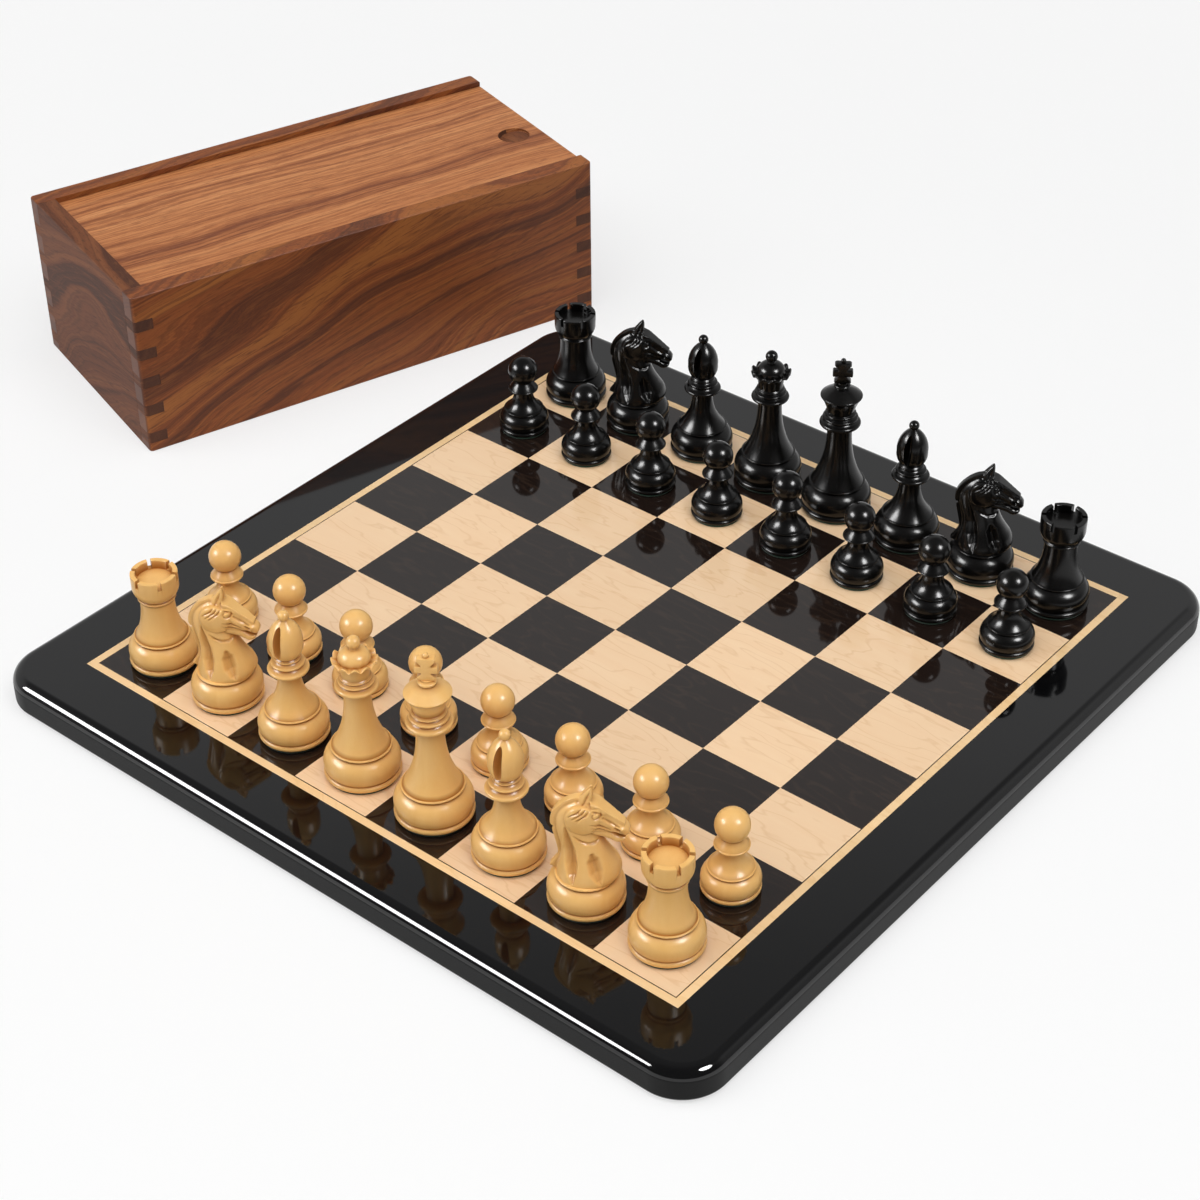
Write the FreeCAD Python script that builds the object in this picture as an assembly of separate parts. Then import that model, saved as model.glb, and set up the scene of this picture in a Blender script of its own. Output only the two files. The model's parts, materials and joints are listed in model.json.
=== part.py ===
import FreeCAD, Part
import os

from FreeCAD import Rotation, Vector

os.makedirs("parts", exist_ok=True)

# Lengths are in millimetres, angles in degrees.
# The origin lies on the table under the middle of the board, +X runs along the files from a to h,
# +Y from the white side to the black side and +Z is up.

# Board
square = 50.0
squares_per_side = 8
string_width = 0.6
inlay_width = 4.6
border_width = 36.4
board_thickness = 19.0
board_corner_radius = 26.0
top_round = 7.0
bottom_round = 2.5
veneer = 1.2
baize = 1.0
baize_setback = 4.0
tongue_depth = 8.0
tongue_height = 6.0

# Storage box
box_length = 328.0
box_width = 158.0
box_height = 110.0
box_wall = 12.5
box_turn = 72.0
box_gap = 15.7
box_reach = 49.1
box_corner_round = 2.5
box_edge_round = 1.0
floor_panel = 5.0
floor_lift = 5.0
groove_depth = 5.0
lid_thickness = 6.5
lid_lip = 3.5
lid_clearance = 0.25
pin_count = 5
pin_share = 0.38
dimple_diameter = 21.0
dimple_depth = 3.2
dimple_from_end = 19.0
dimple_across_share = 0.43
dimple_tilt = 8.0

# Chessmen
felt = 1.5
felt_share = 0.93
glue_gap = 0.15
weight_radius_share = 0.45
weight_height_share = 0.5
king_height = 102.0
king_base = 41.5
queen_height = 88.0
queen_base = 40.5
bishop_height = 80.0
bishop_base = 38.0
knight_height = 72.0
knight_base = 39.0
rook_height = 59.0
rook_base = 38.0
pawn_height = 50.0
pawn_base = 30.5
tenon_radius = 1.2
tenon_length = 5.0
dowel_radius = 4.0
dowel_length = 6.0
merlon_count = 6
merlon_gap = 2.2
merlon_depth = 4.6
battlement_depth = 5.0
coronet_points = 9
scallop_radius = 2.3
mitre_cut = 3.2
mitre_cut_depth_share = 0.75
mitre_cut_lean = 12.0
cross_thickness = 4.4
cross_ball = 1.5

# Headings of the men, about +Z from +X
cross_turn = 305.0
bishop_turn = 284.0
knight_turn = 30.0
rook_turn = 301.0

# One overrun serves every cut, and edges within a touch of a height lie at it
overrun = 1.0
touch = 0.001

# Sizes that follow from the ones above
field = square * squares_per_side
string_outer = field + 2 * string_width
inlay_outer = string_outer + 2 * inlay_width
board_side = inlay_outer + 2 * border_width
playing_height = baize + board_thickness
core_thickness = board_thickness - veneer
groove_top = box_height - lid_lip
groove_floor = groove_top - lid_thickness - 2 * lid_clearance
pin_pitch = groove_floor / pin_count
pin_height = pin_pitch * pin_share

up = Vector(0, 0, 1)
made = {}


def keep(node, *solids):
    """Keep the separate solids of a node for export."""
    made[node] = list(solids)


def block(low, high):
    """A box between two opposite corners."""
    size = high - low
    return Part.makeBox(size.x, size.y, size.z, low)


def centred_block(side, bottom, top):
    """A square slab about the Z axis."""
    return block(Vector(-side / 2, -side / 2, bottom), Vector(side / 2, side / 2, top))


def upright_edges(shape):
    """The straight edges of a shape that stand upright."""
    ways = [(e, e.Vertexes[-1].Point - e.Vertexes[0].Point) for e in shape.Edges]
    return [e for e, way in ways if abs(way.z) > touch and abs(way.x) + abs(way.y) < touch]


def rounded_slab(side, radius, bottom, top):
    """A square slab about the Z axis with rounded upright corners."""
    slab = centred_block(side, bottom, top)
    return slab.makeFillet(radius, upright_edges(slab))


def edges_at(shape, height):
    """The edges of a shape that lie wholly at one height."""
    reach = [(e, e.BoundBox) for e in shape.Edges]
    return [e for e, b in reach if abs(b.ZMin - height) < touch and abs(b.ZMax - height) < touch]


# Board: core panel, four mitred border rails, veneered squares, stringing, inlay and baize

def side_wedge(turn, bottom, top):
    """The quarter of the board that belongs to one side, cut along the two mitre lines."""
    reach = board_side
    corners = [Vector(0, 0, bottom), Vector(reach, -reach, bottom), Vector(reach, reach, bottom)]
    face = Part.Face(Part.makePolygon(corners + corners[:1]))
    wedge = face.extrude(up * (top - bottom))
    wedge.rotate(Vector(), up, turn)
    return wedge


def square_ring(inner, outer, bottom, top):
    """A square frame between two sides."""
    hole = centred_block(inner, bottom - overrun, top + overrun)
    return centred_block(outer, bottom, top).cut(hole)


def mitred(ring):
    """The four lengths of a frame, right, back, left and front."""
    box = ring.BoundBox
    lengths = []
    for quarter in range(4):
        wedge = side_wedge(quarter * 90, box.ZMin - overrun, box.ZMax + overrun)
        lengths.append(ring.common(wedge).Solids[0])
    return lengths


def board():
    tongue_low = baize + (core_thickness - tongue_height) / 2
    tongue_high = tongue_low + tongue_height
    tongue_side = inlay_outer + 2 * tongue_depth
    panel = centred_block(inlay_outer, baize, baize + core_thickness)
    keep("board_core", panel.fuse(centred_block(tongue_side, tongue_low, tongue_high)).removeSplitter())

    slab = rounded_slab(board_side, board_corner_radius, baize, playing_height)
    slab = slab.makeFillet(top_round, edges_at(slab, playing_height))
    slab = slab.makeFillet(bottom_round, edges_at(slab, baize))
    border = slab.cut(centred_block(inlay_outer, 0, playing_height + overrun))
    border = border.cut(centred_block(tongue_side, tongue_low, tongue_high))
    for name, rail in zip(("right", "back", "left", "front"), mitred(border)):
        keep("border_rail_" + name, rail)

    seat = baize + core_thickness
    keep("inlay_strips", *mitred(square_ring(string_outer, inlay_outer, seat, playing_height)))
    keep("stringing", *mitred(square_ring(field, string_outer, seat, playing_height)))
    tiles = {0: [], 1: []}
    for column in range(squares_per_side):
        for row in range(squares_per_side):
            low = Vector(column * square - field / 2, row * square - field / 2, seat)
            tiles[(column + row) % 2].append(block(low, low + Vector(square, square, veneer)))
    keep("dark_squares", *tiles[0])
    keep("light_squares", *tiles[1])
    underside = board_side - 2 * baize_setback
    keep("baize_underside", rounded_slab(underside, board_corner_radius - baize_setback, 0, baize))


# Storage box: four finger-jointed walls, a grooved-in floor and a sliding lid, drawn along its own length

def box_shell():
    """The outside of the box, with its edges eased."""
    shell = block(Vector(), Vector(box_length, box_width, box_height))
    shell = shell.makeFillet(box_corner_round, upright_edges(shell))
    return shell.makeFillet(box_edge_round, edges_at(shell, 0) + edges_at(shell, box_height))


def pins(x):
    """The finger pins of an end wall, through both long walls, starting at x."""
    fingers = []
    for step in range(pin_count):
        low = step * pin_pitch + (pin_pitch - pin_height) / 2
        for y in (0, box_width - box_wall):
            fingers.append(block(Vector(x, y, low), Vector(x + box_wall, y + box_wall, low + pin_height)))
    return fingers


def place_box(shape):
    """Turn a piece of the box and move it beside the board, with its far end past the board's back edge."""
    far_corner = Rotation(up, box_turn).multVec(Vector(box_length, 0, 0))
    place = Vector(-board_side / 2 - box_gap, board_side / 2 + box_reach, 0)
    shape.rotate(Vector(), up, box_turn)
    shape.translate(place - far_corner)
    return shape


def box():
    shell = box_shell()
    far_x = box_length - box_wall
    far_y = box_width - box_wall
    left_pins = pins(0)
    right_pins = pins(far_x)
    inset = box_wall - groove_depth
    lid_start = Vector(inset, inset, groove_floor)
    lid_way = block(lid_start, Vector(box_length + overrun, box_width - inset, groove_top))
    floor_top = floor_lift + floor_panel
    floor_long = block(Vector(inset, box_wall, floor_lift), Vector(box_length - inset, far_y, floor_top))
    floor_wide = block(Vector(box_wall, inset, floor_lift), Vector(far_x, box_width - inset, floor_top))
    floor = floor_long.fuse(floor_wide).removeSplitter()

    walls = {}
    for name, y in (("front", 0), ("back", far_y)):
        wall = block(Vector(0, y, 0), Vector(box_length, y + box_wall, box_height))
        walls[name] = wall.cut(left_pins + right_pins)
    left = block(Vector(0, box_wall, 0), Vector(box_wall, far_y, box_height))
    right = block(Vector(far_x, box_wall, 0), Vector(box_length, far_y, groove_floor))
    walls["left"] = left.multiFuse(left_pins)
    walls["right"] = right.multiFuse(right_pins)
    for name, wall in walls.items():
        wall = wall.cut([lid_way, floor]).common(shell).removeSplitter()
        keep("box_%s_wall" % name, place_box(wall.Solids[0]))
    keep("box_floor", place_box(floor.Solids[0]))

    low = Vector(inset + lid_clearance, inset + lid_clearance, groove_floor + lid_clearance)
    lid = block(low, Vector(box_length, box_width - inset - lid_clearance, groove_top - lid_clearance))
    dimple = Part.makeCylinder(dimple_diameter / 2, lid_thickness, Vector(0, 0, -dimple_depth))
    dimple.rotate(Vector(), Vector(0, 1, 0), dimple_tilt)
    centre = Vector(box_length - dimple_from_end, box_width * dimple_across_share, groove_top - lid_clearance)
    dimple.translate(centre)
    keep("box_lid", place_box(lid.cut(dimple)))


# Chessmen: each is turned from an outline of rows (radius, height, bow of the stretch that leads there)
# A bow is the rise of an arc as a share of its chord, and a flare draws in like the foot of a bell

flare = "flare"
foot_top_share = 0.855
foot_rim_share = 0.72
base_shares = [
    (0, 0, 0),
    (0.945, 0, 0),
    (0.955, 0.16, 0.3),
    (0.935, 0.17, 0),
    (0.72, 0.79, 0.229),
    (0.73, 0.795, 0),
    (0.73, 0.85, 0.45),
    (foot_rim_share, foot_top_share, 0),
]

king_top_share = 0.848
king_shares = [
    (0.345, 0.548, flare),
    (0.53, 0.556, 0),
    (0.53, 0.582, 0.45),
    (0.45, 0.594, -0.08),
    (0.46, 0.602, 0),
    (0.46, 0.618, 0.45),
    (0.40, 0.628, -0.08),
    (0.41, 0.632, 0),
    (0.41, 0.645, 0.45),
    (0.385, 0.652, 0),
    (0.585, 0.756, -0.06),
    (0.565, 0.777, 0.4),
    (0.20, 0.828, -0.05),
    (0.16, 0.832, 0),
    (0.15, king_top_share, 0.4),
]

coronet_rim_share = 0.828
scallop_foot_share = 0.47
queen_shares = [
    (0.345, 0.585, flare),
    (0.505, 0.594, 0),
    (0.505, 0.622, 0.45),
    (0.42, 0.638, -0.08),
    (0.43, 0.646, 0),
    (0.43, 0.666, 0.45),
    (0.375, 0.678, -0.08),
    (0.385, 0.684, 0),
    (0.385, 0.698, 0.45),
    (0.36, 0.706, 0),
    (0.54, 0.812, -0.1),
    (0.52, coronet_rim_share, 0.4),
    (0.40, 0.802, 0),
    (0.11, 0.93, 0.18),
    (0.11, 0.94, 0),
]
queen_ball_share = 0.168

mitre_foot_share = 0.65
mitre_belly_share = 0.47
mitre_top_share = 0.934
bishop_shares = [
    (0.345, 0.525, flare),
    (0.525, 0.534, 0),
    (0.525, 0.562, 0.45),
    (0.42, 0.58, -0.08),
    (0.43, 0.588, 0),
    (0.43, 0.608, 0.45),
    (0.345, 0.622, -0.08),
    (0.35, 0.628, 0),
    (0.35, 0.642, 0.45),
    (0.32, mitre_foot_share, 0),
    (mitre_belly_share, 0.75, 0.12),
    (0.11, mitre_top_share, 0.14),
    (0.11, 0.945, 0),
]
bishop_ball_share = 0.155

rook_shares = [
    (0.485, 0.715, flare),
    (0.51, 0.72, 0),
    (0.51, 0.745, 0.45),
    (0.50, 0.75, 0),
    (0.665, 0.845, 0.1),
    (0.67, 0.985, 0),
    (0.655, 1, 0.1),
]
rook_well_share = 0.52

pawn_shares = [
    (0.38, 0.535, flare),
    (0.55, 0.562, -0.1),
    (0.55, 0.592, 0.45),
    (0.38, 0.668, 0.04),
    (0.36, 0.69, 0),
]
pawn_ball_share = 0.585


def outline(rows):
    """The edges of an outline through rows of radius, height and bow."""
    edges = []
    for (r0, z0, _), (r1, z1, bow) in zip(rows, rows[1:]):
        start = Vector(r0, 0, z0)
        end = Vector(r1, 0, z1)
        chord = end - start
        if bow == flare:
            third = Vector(0, 0, chord.z / 3)
            curve = Part.BezierCurve()
            curve.setPoles([start, end - third * 2, end - third, end])
            edges.append(curve.toShape())
        elif bow:
            middle = (start + end) / 2 + Vector(chord.z, 0, -chord.x) * bow
            edges.append(Part.Arc(start, middle, end).toShape())
        else:
            edges.append(Part.makeLine(start, end))
    return edges


def turned(base, height, upper_shares):
    """The wooden body of a man, turned on the base that all men share, with room for its weight."""
    radius = base / 2
    rows = [(r * radius, felt + z * radius, bow) for r, z, bow in base_shares]
    rows += [(r * radius, z * height, bow) for r, z, bow in upper_shares]
    rows.append((0, rows[-1][1], 0))
    rows.append((0, felt, 0))
    body = Part.Face(Part.Wire(outline(rows))).revolve(Vector(), up, 360)
    bore = radius * weight_radius_share + glue_gap
    room = Part.makeCylinder(bore, radius * weight_height_share + glue_gap + felt)
    return body.cut(room)


def base_fittings(base):
    """The hidden weight and the felt pad under a man."""
    radius = base / 2
    weight = Part.makeCylinder(radius * weight_radius_share, radius * weight_height_share, Vector(0, 0, felt))
    return [weight, Part.makeCylinder(radius * felt_share, felt)]


def around(count, shape):
    """Copies of a shape, evenly spaced about Z."""
    copies = []
    for step in range(count):
        copy = shape.copy()
        copy.rotate(Vector(), up, step * 360 / count)
        copies.append(copy)
    return copies


def topped(body, base, height, ball_share):
    """A turned body with the ball on its top."""
    ball = base / 2 * ball_share
    return body.fuse(Part.makeSphere(ball, Vector(0, 0, height - ball)))


def king():
    seat = Vector(0, 0, king_height * king_top_share)
    socket = Part.makeCylinder(tenon_radius + glue_gap, tenon_length + glue_gap, seat, -up)
    return turned(king_base, king_height, king_shares).cut(socket)


# Half of the cross from the foot to the top, as shares of its half width and its height below the ball
cross_shares = [
    (0.58, 0),
    (0.62, 0.09),
    (0.50, 0.20),
    (0.46, 0.30),
    (0.92, 0.34),
    (1.0, 0.46),
    (0.94, 0.60),
    (0.48, 0.64),
    (0.44, 0.72),
    (0.88, 0.90),
    (0.80, 1.0),
]
cross_width_share = 0.28


def cross():
    """The king's cross with the ball on its top and the tenon under its foot."""
    low = king_height * king_top_share
    top = king_height - 2 * cross_ball + glue_gap
    half = king_base * cross_width_share / 2
    side = [Vector(half * x, -cross_thickness / 2, low + (top - low) * z) for x, z in cross_shares]
    points = side + [Vector(-p.x, p.y, p.z) for p in reversed(side)]
    plate = Part.Face(Part.makePolygon(points + points[:1])).extrude(Vector(0, cross_thickness, 0))
    ball = Part.makeSphere(cross_ball, Vector(0, 0, king_height - cross_ball))
    tenon = Part.makeCylinder(tenon_radius, tenon_length, Vector(0, 0, low), -up)
    shape = plate.multiFuse([ball, tenon])
    shape.rotate(Vector(), up, 90)
    return shape


def queen():
    body = turned(queen_base, queen_height, queen_shares)
    rim = queen_height * coronet_rim_share
    inner = queen_base / 2 * scallop_foot_share
    notch = Part.makeCylinder(scallop_radius, queen_base / 2, Vector(inner, 0, rim), Vector(1, 0, 0))
    body = body.cut(around(coronet_points, notch))
    return topped(body, queen_base, queen_height, queen_ball_share)


def bishop():
    body = turned(bishop_base, bishop_height, bishop_shares)
    belly = bishop_base / 2 * mitre_belly_share
    low = bishop_height * mitre_foot_share
    high = bishop_height * mitre_top_share
    reach = belly * mitre_cut_depth_share
    start = Vector(belly - reach, -mitre_cut / 2, low + (high - low) * (1 - mitre_cut_depth_share))
    slot = block(start, Vector(bishop_base, mitre_cut / 2, high))
    slot.rotate(start, Vector(0, 1, 0), mitre_cut_lean)
    return topped(body.cut(slot), bishop_base, bishop_height, bishop_ball_share)


def rook():
    body = turned(rook_base, rook_height, rook_shares)
    well = rook_base / 2 * rook_well_share
    floor = Vector(0, 0, rook_height - battlement_depth)
    body = body.cut(Part.makeCylinder(well, battlement_depth + overrun, floor))
    low = Vector(well / 2, -merlon_gap / 2, rook_height - merlon_depth)
    gap = block(low, Vector(rook_base, merlon_gap / 2, rook_height + overrun))
    gap.rotate(Vector(), up, 180 / merlon_count)
    return body.cut(around(merlon_count, gap))


def pawn():
    return topped(turned(pawn_base, pawn_height, pawn_shares), pawn_base, pawn_height, pawn_ball_share)


def knight_foot():
    foot = turned(knight_base, knight_height, [])
    seat = Vector(0, 0, felt + knight_base / 2 * foot_top_share)
    socket = Part.makeCylinder(dowel_radius + glue_gap, dowel_length + glue_gap, seat, -up)
    return foot.cut(socket)


# Level cuts through the neck above its seat: middle, half length and half width by base radius, and height
neck_shares = [
    (0.02, 0.83, 0.66, 0.34),
    (0.00, 0.66, 0.50, 0.45),
    (-0.17, 0.60, 0.42, 0.56),
    (-0.30, 0.55, 0.37, 0.68),
    (-0.27, 0.50, 0.32, 0.79),
    (-0.06, 0.34, 0.22, 0.90),
]

# Cuts square to the face: middle along X and Z, half depth and half width
face_shares = [
    (-0.10, 0.80, 0.44, 0.28),
    (0.24, 0.755, 0.57, 0.35),
    (0.62, 0.675, 0.44, 0.26),
    (0.90, 0.635, 0.37, 0.235),
    (1.06, 0.615, 0.22, 0.17),
]

# The mane from the tuft behind the foot to the poll, outside then inside
mane_shares = [
    (-0.90, 0.31),
    (-0.72, 0.45),
    (-0.86, 0.60),
    (-0.90, 0.72),
    (-0.74, 0.85),
    (-0.35, 0.925),
    (0.02, 0.915),
    (-0.10, 0.80),
    (-0.45, 0.60),
    (-0.40, 0.34),
]
mane_width_share = 0.26
ear_shares = [(0.02, 0.17, 0.88, 0.15), (0.10, 0.20, 0.95, 0.11), (0.14, 0.22, 1.0, 0.03)]

# Scooped hollows on each side of the neck: upper end, lower end and radius
hollow_shares = [
    ((-0.22, 0.80, 0.60), (-0.05, 0.88, 0.36), 0.38),
    ((0.34, 0.76, 0.45), (0.50, 0.84, 0.36), 0.32),
]
eye_shares = (0.40, 0.31, 0.80, 0.06)
mouth_shares = [(0.72, 0.605), (1.30, 0.565), (1.30, 0.60)]


def oval(centre, along, across, half_along, half_across):
    """A closed oval wire about a centre, in the plane of two directions."""
    if half_along >= half_across:
        ellipse = Part.Ellipse(centre + along * half_along, centre + across * half_across, centre)
    else:
        ellipse = Part.Ellipse(centre + across * half_across, centre - along * half_along, centre)
    return Part.Wire(ellipse.toShape())


def capsule(start, end, radius):
    """A round bar with ball ends between two points."""
    way = end - start
    bar = Part.makeCylinder(radius, way.Length, start, way)
    return bar.multiFuse([Part.makeSphere(radius, start), Part.makeSphere(radius, end)])


def knight_head():
    """The carved head and neck, looking along +X, with the dowel under it."""
    radius = knight_base / 2
    along = Vector(1, 0, 0)
    across = Vector(0, 1, 0)
    seat = Vector(0, 0, felt + radius * foot_top_share)
    levels = [oval(seat, along, across, foot_rim_share * radius, foot_rim_share * radius)]
    for x, length, width, z in neck_shares:
        centre = Vector(x * radius, 0, z * knight_height)
        levels.append(oval(centre, along, across, length * radius, width * radius))
    head = Part.makeLoft(levels, True)

    first = Vector(face_shares[0][0] * radius, 0, face_shares[0][1] * knight_height)
    last = Vector(face_shares[-1][0] * radius, 0, face_shares[-1][1] * knight_height)
    forward = (last - first).normalize()
    brow = across.cross(forward) * -1
    cuts = []
    for x, z, depth, width in face_shares:
        centre = Vector(x * radius, 0, z * knight_height)
        cuts.append(oval(centre, brow, across, depth * radius, width * radius))
    pieces = [Part.makeLoft(cuts, True)]

    half = mane_width_share * radius / 2
    ridge = [Vector(x * radius, -half, z * knight_height) for x, z in mane_shares]
    outside = Part.BSplineCurve()
    outside.interpolate(ridge[:7])
    inside = Part.BSplineCurve()
    inside.interpolate(ridge[6:] + ridge[:1])
    mane = Part.Face(Part.Wire([outside.toShape(), inside.toShape()]))
    pieces.append(mane.extrude(across * (2 * half)))

    for side in (-1, 1):
        rings = []
        for x, y, z, size in ear_shares:
            centre = Vector(x * radius, side * y * radius, z * knight_height)
            rings.append(oval(centre, along, across, size * radius, size * radius / 2))
        pieces.append(Part.makeLoft(rings, True))
    x, y, z, size = eye_shares
    corner = Vector(x * radius, -y * radius, z * knight_height)
    pieces.append(Part.makeCylinder(size * radius, 2 * y * radius, corner, across))
    pieces.append(Part.makeCylinder(dowel_radius, dowel_length, seat, -up))
    head = head.multiFuse(pieces)

    for side in (-1, 1):
        for top, foot, size in hollow_shares:
            start = Vector(top[0] * radius, side * top[1] * radius, top[2] * knight_height)
            end = Vector(foot[0] * radius, side * foot[1] * radius, foot[2] * knight_height)
            head = head.cut(capsule(start, end, size * radius))
    lips = [Vector(x * radius, -radius, z * knight_height) for x, z in mouth_shares]
    mouth = Part.Face(Part.makePolygon(lips + lips[:1])).extrude(across * (2 * radius))
    return head.cut(mouth)


def stand(shape, column, row, turn):
    """Turn a piece of a man about its own axis and stand it on its square."""
    shape = shape.copy()
    shape.rotate(Vector(), up, turn)
    centre = (squares_per_side - 1) / 2
    shape.translate(Vector((column - centre) * square, (row - centre) * square, playing_height))
    return shape


def men():
    bases = {"rook": rook_base, "knight": knight_base, "bishop": bishop_base, "queen": queen_base,
             "king": king_base, "pawn": pawn_base}
    bodies = {"rook": rook(), "knight": knight_foot(), "bishop": bishop(), "queen": queen(),
              "king": king(), "pawn": pawn()}
    turns = {"rook": rook_turn, "knight": knight_turn, "bishop": bishop_turn}
    tops = {"knight": ("head", knight_head(), knight_turn), "king": ("cross", cross(), cross_turn)}
    back_row = ("rook", "knight", "bishop", "queen", "king", "bishop", "knight", "rook")
    last = squares_per_side - 1
    for colour, home, pawns in (("white", 0, 1), ("black", last, last - 1)):
        for column in range(squares_per_side):
            letter = "abcdefgh"[column]
            for kind, row in ((back_row[column], home), ("pawn", pawns)):
                node = "%s_%s_%s" % (colour, kind, letter)
                if back_row.count(kind) == 1:
                    node = "%s_%s" % (colour, kind)
                pieces = [bodies[kind]] + base_fittings(bases[kind])
                keep(node, *[stand(p, column, row, turns.get(kind, 0)) for p in pieces])
                if kind in tops:
                    part, shape, turn = tops[kind]
                    keep("%s_%s" % (node, part), stand(shape, column, row, turn))


board()
box()
men()
for node, solids in made.items():
    shape = solids[0] if len(solids) == 1 else Part.makeCompound(solids)
    shape.exportStep("parts/%s.step" % node)
    flaws = [s for s in solids if not s.isValid() or s.Volume <= 0 or len(s.Solids) != 1]
    print(node, len(solids), "solids", round(shape.Volume), "mm3", "FLAWED" if flaws else "")
print(len(made), "nodes")
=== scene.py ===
# %% [markdown]
# # A chess set with its storage box
# The set is a black lacquered board with a veneered field, thirty-two turned men and a finger-jointed box
# with a sliding lid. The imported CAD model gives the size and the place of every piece, so nothing is measured
# twice: each piece here is modelled where its node stands and takes over from it.

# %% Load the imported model
import json
import math

import bmesh
import bpy
import numpy as np
from mathutils import Matrix, Vector

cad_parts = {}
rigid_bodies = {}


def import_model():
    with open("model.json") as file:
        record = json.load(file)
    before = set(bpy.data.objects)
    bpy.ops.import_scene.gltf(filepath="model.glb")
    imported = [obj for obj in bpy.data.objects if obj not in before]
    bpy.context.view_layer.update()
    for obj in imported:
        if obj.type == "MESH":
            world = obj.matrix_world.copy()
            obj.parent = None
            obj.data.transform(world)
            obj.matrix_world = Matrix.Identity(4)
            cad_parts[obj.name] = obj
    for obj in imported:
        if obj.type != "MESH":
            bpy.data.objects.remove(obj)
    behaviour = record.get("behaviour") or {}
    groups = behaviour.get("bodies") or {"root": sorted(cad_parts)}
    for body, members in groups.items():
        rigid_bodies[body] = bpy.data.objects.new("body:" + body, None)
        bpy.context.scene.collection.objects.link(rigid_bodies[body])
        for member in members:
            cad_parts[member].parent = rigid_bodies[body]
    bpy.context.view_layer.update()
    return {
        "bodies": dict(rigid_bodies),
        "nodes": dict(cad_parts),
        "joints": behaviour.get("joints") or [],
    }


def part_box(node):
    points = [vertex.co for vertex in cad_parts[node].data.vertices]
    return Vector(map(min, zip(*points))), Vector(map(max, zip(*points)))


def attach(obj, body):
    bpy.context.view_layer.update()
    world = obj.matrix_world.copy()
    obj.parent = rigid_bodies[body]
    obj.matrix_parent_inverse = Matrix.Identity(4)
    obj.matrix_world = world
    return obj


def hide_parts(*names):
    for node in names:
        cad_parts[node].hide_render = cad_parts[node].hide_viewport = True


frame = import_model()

# %% [markdown]
# ## Camera, light and floor
# The set stands on a white table and is seen from above one corner of the board. Two softboxes give
# highlights only: a long one on the left draws the white line along the board's rounded edge, and a round one
# on the right adds a second glint to every polished man. The even light comes from a ceiling panel and two
# fills, which the polish does not mirror. A lamp's strength follows from how bright it should look, so a lamp
# is written as a brightness and a size. The studio mirrors as white paper behind the set, dim overhead and
# dark on the camera's side, and the table fades to plain white with distance.

# %% Camera at the photograph's angle
eye = Vector((0.70965, -0.86259, 0.87355))
view_forward = Vector((-0.51394, 0.61527, -0.59775)).normalized()
view_right = Vector((0.77108, 0.63669, -0.00762)).normalized()
field_of_view = math.radians(26.63)

camera = bpy.data.objects.new("camera", bpy.data.cameras.new("camera"))
bpy.context.scene.collection.objects.link(camera)
turn = Matrix((view_right, view_right.cross(view_forward), -view_forward)).transposed()
camera.matrix_world = Matrix.Translation(eye) @ turn.to_4x4()
camera.data.angle = field_of_view
bpy.context.scene.camera = camera
print("camera", round(math.degrees(math.asin(-view_forward.z)), 1), "degrees above the table")

# %% Softboxes
scene_middle = Vector((-0.05, 0.0, 0.0))
disc_share = math.pi / 4
# Name, direction from the set, distance, width, height, brightness and outline
highlight_lamps = (
    ("left_lamp", (-0.555, -0.67, 0.49), 5.0, 2.6, 1.6, 32.0, "RECTANGLE"),
    ("right_lamp", (0.72, 0.00, 0.69), 5.0, 1.80, 1.80, 44.0, "ELLIPSE"),
)
even_lamps = (
    ("ceiling", (0.15, -0.18, 1.0), 4.0, 5.0, 5.0, 2.14, "RECTANGLE"),
    ("left_fill", (-0.50, -0.55, 0.67), 4.0, 2.4, 2.4, 1.7, "RECTANGLE"),
    ("right_fill", (0.62, -0.10, 0.78), 4.0, 2.4, 2.4, 1.4, "RECTANGLE"),
)


def softbox(name, direction, distance, width, height, brightness, outline):
    """Hang a lamp along a direction from the middle of the scene, facing it."""
    lamp = bpy.data.lights.new(name, "AREA")
    lamp.shape = outline
    lamp.size = width
    lamp.size_y = height
    area = width * height * (disc_share if outline == "ELLIPSE" else 1)
    lamp.energy = math.pi * area * brightness
    holder = bpy.data.objects.new(name, lamp)
    bpy.context.scene.collection.objects.link(holder)
    outward = Vector(direction).normalized()
    holder.location = scene_middle + outward * distance
    holder.rotation_euler = outward.to_track_quat("Z", "Y").to_euler()
    print(name, round(lamp.energy), "W")
    return holder


for lamp_sizes in highlight_lamps:
    softbox(*lamp_sizes).visible_diffuse = False
for lamp_sizes in even_lamps:
    softbox(*lamp_sizes).visible_glossy = False

# %% Helpers for shader nodes


def linear(code):
    """A colour written as sRGB hex, in the linear values that shaders take."""
    parts = [int(code[at:at + 2], 16) / 255 for at in (1, 3, 5)]
    return [*(p / 12.92 if p <= 0.04045 else ((p + 0.055) / 1.055) ** 2.4 for p in parts), 1.0]


def add(tree, kind, inputs=None, **settings):
    """Add a shader node, set what is given and link each input that comes from another node."""
    made = tree.nodes.new("ShaderNode" + kind)
    for name, value in settings.items():
        setattr(made, name, value)
    for name, value in (inputs or {}).items():
        if isinstance(value, bpy.types.NodeSocket):
            tree.links.new(value, made.inputs[name])
        else:
            made.inputs[name].default_value = value
    return made


def start_material(name, **sockets):
    """A material with its one shader, and the tree to build its pattern in."""
    material = bpy.data.materials.new(name)
    material.use_nodes = True
    tree = material.node_tree
    shader = tree.nodes["Principled BSDF"]
    for socket, value in sockets.items():
        shader.inputs[socket.replace("_", " ").title().replace("Ior", "IOR")].default_value = value
    return material, tree, shader


def object_place(tree):
    """Where each point of a piece lies, for patterns in real sizes."""
    return add(tree, "TexCoord").outputs["Object"]


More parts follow.
